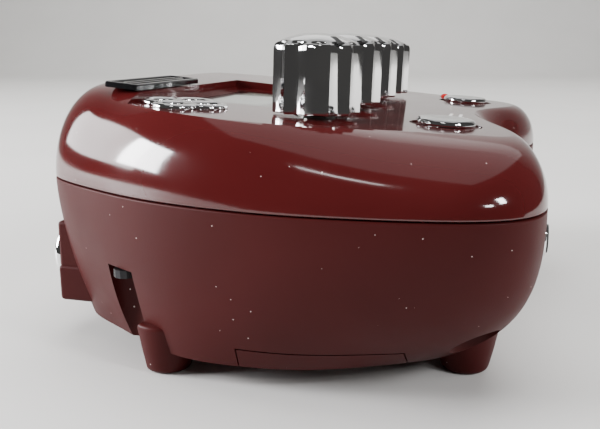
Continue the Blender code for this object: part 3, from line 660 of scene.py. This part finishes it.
def lamp_material():
    """A clear red lens whose red drifts a little between a deeper and a brighter tone."""
    material, tree, shader, coordinates = blank_material("lamp_lens_red")
    tone = two_tone(tree, coordinates, (0.45, 0.01, 0.012), (0.7, 0.03, 0.03), 500.0)
    tree.links.new(tone, shader.inputs["Base Color"])
    marks = use_group(tree, SMUDGES, coordinates, Low=0.08, High=0.16)
    tree.links.new(marks, shader.inputs["Roughness"])
    shader.inputs["Subsurface Weight"].default_value = 0.2
    shader.inputs["Subsurface Scale"].default_value = 0.001
    return material


GLOSS_BURGUNDY = moulded(
    "gloss_burgundy", (0.054, 0.0056, 0.0058), (0.063, 0.0068, 0.0070), 0.06, 0.14, 700.0, 0.03, 0.04, 0.3
)
SATIN_BURGUNDY = moulded(
    "satin_burgundy",
    (0.041, 0.0052, 0.0050),
    (0.048, 0.0064, 0.0062),
    0.38,
    0.50,
    grain=2600.0,
    strength=0.16,
    ior=1.2,
)
CHROME = metal("bright_chrome", (0.80, 0.80, 0.81), (0.88, 0.88, 0.88), 0.03, 0.09)
DARK_STEEL = metal("dark_steel", (0.030, 0.030, 0.032), (0.045, 0.045, 0.046), 0.35, 0.5, 1600.0, 0.1)
STEEL = metal("plain_steel", (0.20, 0.20, 0.19), (0.27, 0.26, 0.25), 0.25, 0.42, 1600.0, 0.1)
BLACK_PLASTIC = moulded(
    "black_plastic", (0.010, 0.010, 0.010), (0.018, 0.018, 0.018), 0.35, 0.55, 2400.0, 0.12, 0.03
)
BLACK_GLOSS = moulded(
    "black_gloss", (0.006, 0.006, 0.007), (0.011, 0.011, 0.012), 0.05, 0.14, 700.0, 0.02, 0.06
)
WHITE_PRINT = moulded("white_print", (0.70, 0.68, 0.66), (0.80, 0.78, 0.76), 0.4, 0.55, 2400.0, 0.05, 0.0)
POINTER_PAINT = moulded(
    "pointer_paint", (0.008, 0.008, 0.008), (0.015, 0.015, 0.015), 0.4, 0.6, 2400.0, 0.05, 0.0
)
DISPLAY = display_material()
BOARD = board_material()
CELL = cell_material()
LAMP = lamp_material()

SLOT_MATERIALS = {
    "upper_shell": GLOSS_BURGUNDY,
    "lower_shell": SATIN_BURGUNDY,
    "chrome": CHROME,
    "steel": STEEL,
    "black_plastic": BLACK_PLASTIC,
    "badge_plate": BLACK_GLOSS,
    "display_window": DISPLAY,
    "circuit_board": BOARD,
    "cell_wrap": CELL,
    "lamp_lens": LAMP,
}


# ---------------------------------------------------------------- pieces


def shade(mesh, angle):
    mesh.shade_smooth()
    mesh.set_sharp_from_angle(angle=math.radians(angle))


def cut(obj, tools):
    """Applies Booleans (mesh, operation) to obj one by one and leaves a plain mesh."""
    helpers = []
    for i, (mesh, operation) in enumerate(tools):
        helper = bpy.data.objects.new(f"tool_{i}", mesh)
        bpy.context.scene.collection.objects.link(helper)
        helpers.append(helper)
        modifier = obj.modifiers.new(f"tool_{i}", "BOOLEAN")
        modifier.operation = operation
        modifier.solver = "EXACT"
        modifier.object = helper
    graph = bpy.context.evaluated_depsgraph_get()
    result = bpy.data.meshes.new_from_object(obj.evaluated_get(graph))
    obj.modifiers.clear()
    obj.data = result
    for helper in helpers:
        bpy.data.objects.remove(helper)


def piece(name, mesh, material, replaced, angle=35, tools=(), weighted=False):
    """A finished piece that stands for CAD nodes and rides on the body of the first of them."""
    obj = bpy.data.objects.new(name, mesh)
    bpy.context.scene.collection.objects.link(obj)
    if tools:
        cut(obj, tools)
    obj.data.materials.clear()
    obj.data.materials.append(material)
    shade(obj.data, angle)
    if weighted:
        modifier = obj.modifiers.new("flat_faces_lead", "WEIGHTED_NORMAL")
        modifier.keep_sharp = True
    names = [replaced] if isinstance(replaced, str) else list(replaced)
    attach(obj, BODY_OF[names[0]])
    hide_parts(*names)
    return obj


def added(name, mesh, material, body, angle=35):
    """A finished piece that stands for no CAD node."""
    obj = bpy.data.objects.new(name, mesh)
    bpy.context.scene.collection.objects.link(obj)
    obj.data.materials.append(material)
    shade(obj.data, angle)
    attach(obj, body)
    return obj


def rod(radius, low, high, place, steps=72):
    return turned_mesh("rod", [(radius, low), (radius, high)], place, steps)


def rods(spots, radius, low, high):
    return joined("rods", [rod(radius, low, high, shifted(x, y, 0), 48) for x, y in spots])


def dish(radius, depth, place):
    """A cutter for a shallow recess whose wall flares out to the panel."""
    floor = [(radius * 0.90, -depth), (radius * 0.965, -depth * 0.75)]
    profile = [*floor, (radius, 0.0), (radius * 1.02, 0.004)]
    return turned_mesh("dish", softened(profile, 0.0006, 5), place, 96)


def panel_cutter():
    """Everything above the top panel, in front of the rim and of the raised deck beside the display."""
    far = 0.3
    plan = np.array(
        [
            (-far, -far),
            (far, -far),
            (far, DECK_EDGE_Y),
            (DECK_EDGE_X, DECK_EDGE_Y),
            (DECK_EDGE_X, RIM_EDGE_Y),
            (-far, RIM_EDGE_Y),
        ]
    )
    floor = np.column_stack([plan, PANEL_Z + PANEL_SLOPE * plan[:, 1]])
    return loft_mesh("panel_cut", [floor, level_ring(plan, far)])


def make_upper_shell():
    rings = dome_rings(0.0, PARTING_Z + GAP / 2, RIM_Z, RIM_SLOPE, 32, SEAM_ROUND)
    hollow = loft_mesh("hollow", dome_rings(WALL, PARTING_Z - WALL, PANEL_Z - ROOF, PANEL_SLOPE, 8))
    tools = [(panel_cutter(), "DIFFERENCE"), (hollow, "DIFFERENCE")]
    for number in range(1, 5):
        tools.append((rod(0.0048, -0.01, 0.01, knob_place(number), 48), "DIFFERENCE"))
    for name in ("tap_button", "save_button"):
        place = on_panel(*middle(name)[:2])
        tools.append((dish(BUTTON_RECESS_RADIUS, BUTTON_RECESS, place), "DIFFERENCE"))
        tools.append((rod(BUTTON_BORE, -0.02, 0.01, place, 48), "DIFFERENCE"))
    place = on_panel(*middle("navigation_pad")[:2])
    tools.append((dish(PAD_RECESS_RADIUS, BUTTON_RECESS, place), "DIFFERENCE"))
    tools.append((rod(BUTTON_BORE, -0.02, 0.01, place, 48), "DIFFERENCE"))
    lamp_place = on_panel(*middle("indicator_lamp")[:2])
    tools.append((rod(LAMP_RADIUS + GAP, -0.01, 0.01, lamp_place, 32), "DIFFERENCE"))
    place = on_panel(*middle("display_window")[:2])
    half_x, half_y = DISPLAY_SIZE[0] / 2 + GAP, DISPLAY_SIZE[1] / 2 + GAP
    deep = DISPLAY_THICKNESS + GAP
    tools.append((box_mesh("seat", (-half_x, -half_y, -deep), (half_x, half_y, 0.01), place), "DIFFERENCE"))
    piece(
        "upper_shell_gloss",
        loft_mesh("upper_shell_gloss", rings),
        GLOSS_BURGUNDY,
        "upper_shell",
        30,
        tools,
        True,
    )


def foot_mesh(x, y):
    """A moulded foot: a cone that widens upwards into the shell, with a rounded tip."""
    profile = [
        (0.0, 0.0),
        (FOOT_TIP_RADIUS, 0.0),
        (FOOT_RADIUS, 0.0052),
        (FOOT_RADIUS + 0.0012, 0.012),
        (0.0, 0.012),
    ]
    return turned_mesh("foot", softened(profile, 0.0013, 6), shifted(x, y, 0), 64)


def jack_panel_mesh():
    """The housing round the jacks: a lower half, and an upper half set in by a small step."""
    y = jack_panel_y()
    step, seam = 0.0005, 0.0182
    half = JACK_PANEL_HALF
    lower = box_mesh("lower", (-half, 0.02, JACK_PANEL_LOW), (half, y, seam), None, 0.0010, 4)
    upper_low = (step - half, 0.02, seam - 0.002)
    upper_high = (half - step, y - step / 2, JACK_PANEL_HIGH)
    upper = box_mesh("upper", upper_low, upper_high, None, 0.0010, 4)
    return lower, upper


def door_box(gap):
    low, high = corners("battery_door")
    return (-0.3, low[1] - gap, -0.01), (high[0] + gap, high[1] + gap, high[2] + gap)


def bowl_mesh(name):
    return loft_mesh(name, bowl_rings(0.0, PARTING_Z - GAP / 2, BOTTOM_Z, 30, SEAM_ROUND))


def bowl_hollow():
    return loft_mesh("hollow", bowl_rings(WALL, PARTING_Z + WALL, BOTTOM_Z + WALL, 10))


def make_lower_shell():
    spots = mirrored(POCKETS)
    panel_y = jack_panel_y()
    half = JACK_PANEL_HALF
    inner_low = (WALL - half, 0.025, JACK_PANEL_LOW + WALL)
    inner_high = (half - WALL, panel_y - WALL, JACK_PANEL_HIGH - WALL)
    flat_low = (-half - GAP, panel_y - 2 * GAP, -0.01)
    flat_high = (half + GAP, 2 * panel_y, JACK_PANEL_HIGH + GAP)
    lower_housing, upper_housing = jack_panel_mesh()
    hollow = bpy.data.objects.new("hollow", bowl_hollow())
    bpy.context.scene.collection.objects.link(hollow)
    cut(hollow, [(rods(spots, BOSS_RADIUS, -0.01, PARTING_Z - GAP), "DIFFERENCE")])
    hollow_mesh = hollow.data
    bpy.data.objects.remove(hollow)
    tools = [
        (box_mesh("flat", flat_low, flat_high), "DIFFERENCE"),
        (upper_housing, "UNION"),
        (lower_housing, "UNION"),
        (joined("feet", [foot_mesh(x, y) for x, y in mirrored(FEET)]), "UNION"),
        (hollow_mesh, "DIFFERENCE"),
        (box_mesh("jack_hollow", inner_low, inner_high), "DIFFERENCE"),
        (rods(spots, POCKET_RADIUS, -0.01, POCKET_TOP_Z), "DIFFERENCE"),
        (rods(spots, SCREW_BORE, 0.01, PARTING_Z + 0.01), "DIFFERENCE"),
        (box_mesh("door_place", *door_box(GAP)), "DIFFERENCE"),
    ]
    big_jacks = (("instrument_jack", 0.0048), ("output_jack", 0.0048))
    holes = (*big_jacks, ("aux_jack", 0.0033), ("power_inlet", 0.0030))
    for name, radius in holes:
        tools.append((rod(radius, -0.01, 0.01, out_of_back(name), 48), "DIFFERENCE"))
    low, high = corners("data_socket")
    tools.append((slot_cutter(low[0] - GAP, high[0] + GAP, low[2] - GAP, high[2] + GAP), "DIFFERENCE"))
    low, high = corners("power_slider")
    far = high[0] + SLIDER_TRAVEL + GAP
    tools.append((slot_cutter(low[0] - GAP, far, low[2] - GAP, high[2] + GAP), "DIFFERENCE"))
    tools.append((rod(0.0033, -0.006, 0.01, out_of_front("headphone_jack"), 48), "DIFFERENCE"))
    tools.append((rod(0.0043, -GAP, 0.01, out_of_front("headphone_jack"), 64), "DIFFERENCE"))
    bowl = bowl_mesh("lower_shell_satin")
    piece("lower_shell_satin", bowl, SATIN_BURGUNDY, "lower_shell", 30, tools, True)


def slot_cutter(x0, x1, z0, z1):
    y = jack_panel_y()
    return box_mesh("slot", (x0, y - 0.01, z0), (x1, y + 0.01, z1))


def make_battery_door():
    """The floor under the cells. Formula: the lower shell's own surface inside the door's box, less the
    hollow, with ribs across for the thumb."""
    low, high = corners("battery_door")
    tools = [
        (box_mesh("place", *door_box(0.0)), "INTERSECT"),
        (bowl_hollow(), "DIFFERENCE"),
    ]
    ribs = []
    for i in range(5):
        x = low[0] + 0.022 + i * 0.0022
        y = (low[1] + high[1]) / 2
        rib_low = (x, y - 0.008, BOTTOM_Z - 0.0012)
        rib_high = (x + 0.0010, y + 0.008, BOTTOM_Z + 0.0004)
        ribs.append(box_mesh("rib", rib_low, rib_high))
    tools.append((joined("ribs", ribs), "DIFFERENCE"))
    piece(
        "battery_door_satin",
        bowl_mesh("battery_door_satin"),
        SATIN_BURGUNDY,
        "battery_door",
        30,
        tools,
        True,
    )


def knob_wave(r, z, a):
    """Twelve concave flutes with sharp ridges: the radius dips by FLUTE_DEPTH |sin 6a|, from the skirt
    up to the rim, and the dip fades to nothing across the dome."""
    rim = KNOB_HEIGHT - KNOB_DOME
    fade = np.clip((r / KNOB_RADIUS - 0.80) / 0.16, 0, 1)
    fade = np.where(z > rim - 0.001, fade * fade * (3 - 2 * fade), 1.0)
    dip = np.abs(np.sin(a * KNOB_FLUTES / 2)) ** 0.9
    return np.maximum(r[:, None] - FLUTE_DEPTH * fade[:, None] * dip[None, :], 0.0)


def make_knob(number, lift):
    """A domed knob. Formula: a turned profile of skirt, straight side, small rim round and a dome of
    which the height falls with the square of the radius, dipped by the flutes."""
    rim = KNOB_HEIGHT - KNOB_DOME
    side = [(0.0, 0.0), (KNOB_RADIUS * 0.985, 0.0), (KNOB_RADIUS, 0.0003)]
    side += [(KNOB_RADIUS, z) for z in np.linspace(0.0008, rim - 0.0008, 10)]
    share = np.linspace(0.97, 0.0, 20)
    dome = [(KNOB_RADIUS * s, rim + KNOB_DOME * (1 - (s / 0.985) ** 2.3)) for s in share]
    place = knob_place(number) @ shifted(0, 0, lift)
    profile = softened(side + dome, 0.0006, 3)
    mesh = turned_mesh(f"knob_{number}_chrome", profile, place, KNOB_FLUTES * 16, knob_wave)
    knob = piece(f"knob_{number}_chrome", mesh, CHROME, f"knob_{number}", 40)
    body = BODY_OF[f"knob_{number}"]
    mark = pointer_mesh(place, rim)
    added(f"knob_{number}_pointer", mark, POINTER_PAINT, body)
    return knob


def pointer_mesh(place, rim):
    """A short dark pointer laid on the outer half of the dome, toward the low X and the front.
    Formula: a narrow strip whose height follows the dome, 0.08 mm proud."""
    start, end, half = 0.58 * KNOB_RADIUS, 0.89 * KNOB_RADIUS, 0.00065
    along = np.linspace(start, end, 9)
    across = np.array([-half, 0.0, half])
    r, w = np.meshgrid(along, across, indexing="ij")
    z = rim + KNOB_DOME * (1 - (np.hypot(r, w) / KNOB_RADIUS / 0.985) ** 2.3)
    turn = math.radians(-133)
    x, y = r * math.cos(turn) - w * math.sin(turn), r * math.sin(turn) + w * math.cos(turn)
    upper = np.stack([x, y, z + 0.00008], axis=-1)
    lower = np.stack([x, y, z - 0.0003], axis=-1)
    rows, cols = upper.shape[:2]
    points = np.concatenate([upper.reshape(-1, 3), lower.reshape(-1, 3)])
    total = rows * cols
    row, col = np.meshgrid(np.arange(rows - 1), np.arange(cols - 1), indexing="ij")
    a = (row * cols + col).ravel()
    top = np.stack([a, a + cols, a + cols + 1, a + 1], axis=-1)
    loop = [*range(cols - 1), *[r * cols + cols - 1 for r in range(rows - 1)]]
    loop += [*range(total - 1, total - cols, -1), *[r * cols for r in range(rows - 1, 0, -1)]]
    edge = np.array(loop)
    following = np.roll(edge, -1)
    wall = np.stack([edge, following, following + total, edge + total], axis=-1)
    mesh = bpy.data.meshes.new("pointer")
    mesh.from_pydata(points.tolist(), [], np.concatenate([top, top[:, ::-1] + total, wall]).tolist())
    mesh = outward(mesh)
    mesh.transform(place)
    return mesh


def make_buttons():
    """Chrome caps. Formula: turned, with a shallow dish in the middle, a raised round rim and a
    straight wall down to the stem."""
    for name, place_of, spin in (
        ("tap_button", on_panel, 0),
        ("save_button", on_panel, 0),
        ("navigation_pad", on_panel, 4),
    ):
        low, high = corners(name)
        radius = (high[0] - low[0]) / 2
        place = place_of(*middle(name)[:2])
        profile = [
            (0.0, BUTTON_RISE - 0.00045),
            (radius * 0.35, BUTTON_RISE - 0.0004),
            (radius * 0.72, BUTTON_RISE - 0.0001),
            (radius * 0.90, BUTTON_RISE),
            (radius, BUTTON_RISE - 0.0007),
            (radius, 0.0),
            (0.0022, 0.0),
            (0.0022, -0.0066),
            (0.0, -0.0066),
        ]
        mesh = turned_mesh(name, softened(profile, 0.0005, 5), place, 96)
        piece(f"{name}_chrome", mesh, CHROME, name, 50)
        arrows = []
        for i in range(spin):
            turn = place @ Matrix.Rotation(i * math.pi / 2, 4, "Z")
            arrows.append(arrow_mesh(radius, turn))
        if arrows:
            mesh = joined("navigation_arrows", arrows)
            added("navigation_arrows", mesh, POINTER_PAINT, BODY_OF[name])


def arrow_mesh(radius, place):
    """A small dark wedge on the pad, pointing outward."""
    tip, base, half = radius * 0.80, radius * 0.62, radius * 0.13
    plan = np.array([(tip, 0.0), (base, half), (base, -half)])
    rings = [level_ring(plan, BUTTON_RISE - 0.0004), level_ring(plan, BUTTON_RISE + 0.00005)]
    mesh = loft_mesh("arrow", rings, moved=False)
    mesh.transform(place)
    return mesh


def make_badge_plate():
    """A black plate with a raised border and an inset field. Formula: rounded rectangles of falling
    size joined ring by ring, as a picture frame's moulding."""
    place = on_rim(*middle("badge_plate")[:2])
    steps = [
        (0.0000, 0.0003),
        (0.0000, 0.0013),
        (0.0002, 0.0016),
        (0.0010, 0.0016),
        (0.0012, 0.0012),
        (0.0030, 0.0012),
        (0.0031, 0.0015),
        (0.0036, 0.0015),
        (0.0037, 0.0012),
    ]
    width, depth = PLATE_SIZE
    rings = [rounded_rectangle(width - 2 * inset, depth - 2 * inset, 0.0012, z) for inset, z in steps]
    mesh = loft_mesh("badge_plate_gloss", rings, moved=False)
    mesh.transform(place)
    piece("badge_plate_gloss", mesh, BLACK_GLOSS, "badge_plate", 30)


def rounded_rectangle(width, depth, radius, z, steps=6):
    """A ring of points: four quarter circles of the radius, at the corners of the rectangle."""
    angles = (np.arange(4)[:, None] * 90 + np.linspace(0, 90, steps)[None, :]) * math.pi / 180
    signs = np.array([(1, 1), (-1, 1), (-1, -1), (1, -1)])
    centre = signs * (width / 2 - radius, depth / 2 - radius)
    x = centre[:, :1] + radius * np.cos(angles)
    y = centre[:, 1:] + radius * np.sin(angles)
    return np.column_stack([x.ravel(), y.ravel(), np.full(x.size, z)])


def make_ornament():
    """Four open links in a diamond. Formula: each is a turned ring whose section is an arch."""
    x, y, _ = middle("ornament")
    place = on_panel(x, y)
    links = []
    for i, j in ((-1, 0), (0, -1), (1, 0), (0, 1)):
        half = (ORNAMENT_RING - ORNAMENT_HOLE) / 2
        centre = (ORNAMENT_RING + ORNAMENT_HOLE) / 2
        angles = np.linspace(0, math.pi, 12)
        arch = [(centre + half * math.cos(a), 0.0003 + 0.0008 * math.sin(a)) for a in angles]
        section = np.array([(centre + half, 0.0001), *arch, (centre - half, 0.0001)])
        links.append(ring_mesh(section, place @ shifted(i * ORNAMENT_OFFSET, j * ORNAMENT_OFFSET, 0.0)))
    piece("ornament_links", joined("ornament_links", links), CHROME, "ornament", 60)


def ring_mesh(section, place, steps=72):
    """A closed ring: the section, in radius and height, carried once round Z."""
    r, z = np.array(section, float).T
    a = np.arange(steps) * 2 * math.pi / steps
    points = np.stack(
        [r[:, None] * np.cos(a), r[:, None] * np.sin(a), z[:, None] * np.ones(steps)], axis=-1
    ).reshape(-1, 3)
    count = len(section)
    row, col = np.meshgrid(np.arange(count), np.arange(steps), indexing="ij")
    here, along = row * steps + col, row * steps + (col + 1) % steps
    down = (row + 1) % count * steps
    faces = np.stack([here, along, down + (col + 1) % steps, down + col], axis=-1).reshape(-1, 4)
    mesh = bpy.data.meshes.new("ring")
    mesh.from_pydata(points.tolist(), [], faces.tolist())
    mesh = outward(mesh)
    mesh.transform(place)
    return mesh


def make_nuts():
    """Plated jack nuts: a closed section with rounded corners carried round the jack."""
    for node_name, place in (
        ("instrument_jack_nut", out_of_back("instrument_jack")),
        ("output_jack_nut", out_of_back("output_jack")),
        ("headphone_jack_nut", out_of_front("headphone_jack")),
    ):
        low, high = corners(node_name)
        outer = (high[0] - low[0]) / 2
        thick = high[1] - low[1]
        inner = outer * (0.79 if outer < 0.005 else 0.62) + 0.0002
        inside = [(inner, 0.0004), (inner, thick), (outer * 0.93, thick + 0.0003)]
        outside = [(outer, thick * 0.7), (outer, 0.0003), (inner, 0.0003)]
        section = softened(inside + outside, 0.0004, 4)
        mesh = ring_mesh(section[:-1], place, 96)
        piece(f"{node_name}_chrome", mesh, CHROME, node_name, 40)


def make_sockets():
    """Jack barrels: a threaded outside whose radius waves with the height, and a smooth bore."""
    heights = np.linspace(JACK_PROUD - 0.0003, -0.002, 56)
    wave = 2 * math.pi / THREAD_PITCH
    thread = [(JACK_BARREL - 0.00012 * (1 + math.cos(z * wave)), z) for z in heights]
    profile = [
        (0.0, -JACK_DEPTH + 0.0015),
        (JACK_BORE, -JACK_DEPTH + 0.0015),
        (JACK_BORE, JACK_PROUD - 0.0002),
        (JACK_BORE + 0.0002, JACK_PROUD),
        (JACK_BARREL - 0.0003, JACK_PROUD),
        *thread,
        (JACK_BARREL, -WALL - GAP),
        (JACK_BODY, -WALL - GAP),
        (JACK_BODY, -JACK_DEPTH),
        (0.0, -JACK_DEPTH),
    ]
    for name in ("instrument_jack", "output_jack"):
        mesh = turned_mesh(f"{name}_barrel", profile, out_of_back(name), 64)
        piece(f"{name}_barrel", mesh, BLACK_PLASTIC, name, 40)


def make_lamp():
    dome = [(0.0, 0.0010), (0.0006, 0.00092), (0.0011, 0.0006), (0.00145, 0.0001)]
    profile = [*dome, (0.0015, -0.001), (0.0015, -0.0105), (0.0, -0.0105)]
    mesh = turned_mesh("lamp_lens", softened(profile, 0.0003, 4), on_panel(*middle("indicator_lamp")[:2]), 40)
    piece("lamp_lens", mesh, LAMP, "indicator_lamp", 50)


def make_print():
    """White printed marks by the front button: a dash, and two upright strokes on a foot."""
    x, y, _ = middle("tap_button")
    place = on_panel(x, y)
    strokes = [
        ((0.0175, 0.0030), (0.0190, 0.0054)),
        ((0.0205, -0.0022), (0.0270, -0.0014)),
        ((0.0205, 0.0002), (0.0270, 0.0010)),
        ((0.0188, -0.0028), (0.0202, 0.0016)),
    ]
    marks = [box_mesh("mark", (*low, -0.00005), (*high, 0.00004), place) for low, high in strokes]
    added("printed_marks", joined("printed_marks", marks), WHITE_PRINT, "case")


def dress_the_rest():
    """Every CAD node that still shows gets its slot's material."""
    slots = {entry["node"]: entry["material_slot"] for entry in frame["record"]["subparts"]}
    for name, obj in NODES.items():
        obj.data.materials.clear()
        screw = name.startswith("case_screw")
        obj.data.materials.append(DARK_STEEL if screw else SLOT_MATERIALS[slots[name]])


# ---------------------------------------------------------------- stage


def plain_material(name, colour, roughness):
    material, tree, shader, coordinates = blank_material(name)
    tone = two_tone(tree, coordinates, colour, tuple(c * 1.03 for c in colour), 9.0)
    tree.links.new(tone, shader.inputs["Base Color"])
    shader.inputs["Roughness"].default_value = roughness
    return material


def make_floor():
    """A plain pale sweep: a floor that curves up behind the object."""
    across = np.linspace(-3.0, 3.0, 2)
    turn = np.linspace(0, math.pi / 2, 24)
    profile = [(-0.33, 0.0), *[(1.6 + 0.6 * math.sin(a), 0.6 * (1 - math.cos(a))) for a in turn], (2.2, 2.5)]
    points = [(x, y, z) for y in across for x, z in profile]
    count = len(profile)
    faces = [(i, i + 1, count + i + 1, count + i) for i in range(count - 1)]
    mesh = bpy.data.meshes.new("floor")
    mesh.from_pydata(points, [], faces)
    mesh.materials.append(plain_material("pale_floor", (0.62, 0.61, 0.59), 0.55))
    mesh.shade_smooth()
    floor = bpy.data.objects.new("floor", mesh)
    bpy.context.scene.collection.objects.link(floor)
    turn = math.atan2(CAMERA_HEADING[1], CAMERA_HEADING[0])
    floor.rotation_euler = (0, 0, turn)


CAMERA_PLACE = Vector((-HALF_LENGTH - 0.1284, MIDDLE_Y - 0.050, 0.072))
CAMERA_YAW = math.radians(15.54)
CAMERA_PITCH = math.radians(12.83)
CAMERA_HEADING = (math.cos(CAMERA_YAW), math.sin(CAMERA_YAW))
CAMERA_LENS = 44.4


def make_camera():
    camera = bpy.data.cameras.new("camera")
    camera.sensor_width = 36.0
    camera.lens = CAMERA_LENS
    camera.clip_start = 0.01
    obj = bpy.data.objects.new("camera", camera)
    bpy.context.scene.collection.objects.link(obj)
    level = math.cos(CAMERA_PITCH)
    forward = Vector((CAMERA_HEADING[0] * level, CAMERA_HEADING[1] * level, -math.sin(CAMERA_PITCH)))
    obj.location = CAMERA_PLACE
    obj.rotation_euler = forward.to_track_quat("-Z", "Y").to_euler()
    bpy.context.scene.camera = obj


def area_light(name, place, target, size, power, colour=(1, 1, 1), mirrored_in_gloss=True):
    light = bpy.data.lights.new(name, "AREA")
    light.shape = "RECTANGLE"
    light.size, light.size_y = size
    light.energy = power
    light.color = colour
    obj = bpy.data.objects.new(name, light)
    bpy.context.scene.collection.objects.link(obj)
    obj.location = place
    obj.rotation_euler = (Vector(target) - Vector(place)).to_track_quat("-Z", "Y").to_euler()
    obj.visible_glossy = mirrored_in_gloss


def make_lights():
    """Soft studio light: a window and a wide glow at the left, small windows and a fill at the right,
    a strip and a large panel above, and a wash on the sweep behind."""
    world = bpy.data.worlds.new("studio")
    world.use_nodes = True
    shader = world.node_tree.nodes["Background"]
    shader.inputs["Color"].default_value = (0.82, 0.80, 0.78, 1)
    shader.inputs["Strength"].default_value = 0.07
    bpy.context.scene.world = world
    middle_of_case = (0, 0, 0.04)
    area_light("left_window", (-0.34, 0.90, 0.37), middle_of_case, (0.36, 0.36), 25, (0.97, 0.97, 1.0))
    area_light("left_glow", (-0.05, 1.15, 0.42), middle_of_case, (0.7, 0.5), 10)
    area_light("right_window", (-0.40, -0.85, 0.66), middle_of_case, (0.13, 0.20), 6, (0.97, 0.97, 1.0))
    area_light("right_lamp", (-0.58, -0.68, 0.50), middle_of_case, (0.10, 0.06), 1.0)
    area_light("right_fill", (0.2, -1.1, 0.35), middle_of_case, (0.8, 0.5), 9, mirrored_in_gloss=False)
    area_light("ceiling_strip", (-0.55, 0.02, 1.00), middle_of_case, (0.25, 0.05), 0.5)
    area_light("top_glow", (0.7, 0.0, 1.5), middle_of_case, (1.6, 2.2), 6)
    area_light("overhead", (0.3, 0.0, 1.5), middle_of_case, (1.4, 1.4), 28, mirrored_in_gloss=False)
    area_light("wall_wash", (0.9, 0.3, 1.9), (2.3, 0.65, 0.5), (1.8, 0.3), 30, mirrored_in_gloss=False)


def main():
    make_camera()
    make_floor()
    make_lights()
    make_upper_shell()
    make_lower_shell()
    make_battery_door()
    for number, lift in enumerate(KNOB_LIFT, 1):
        make_knob(number, lift)
    make_buttons()
    make_badge_plate()
    make_ornament()
    make_nuts()
    make_sockets()
    make_lamp()
    make_print()
    dress_the_rest()


main()
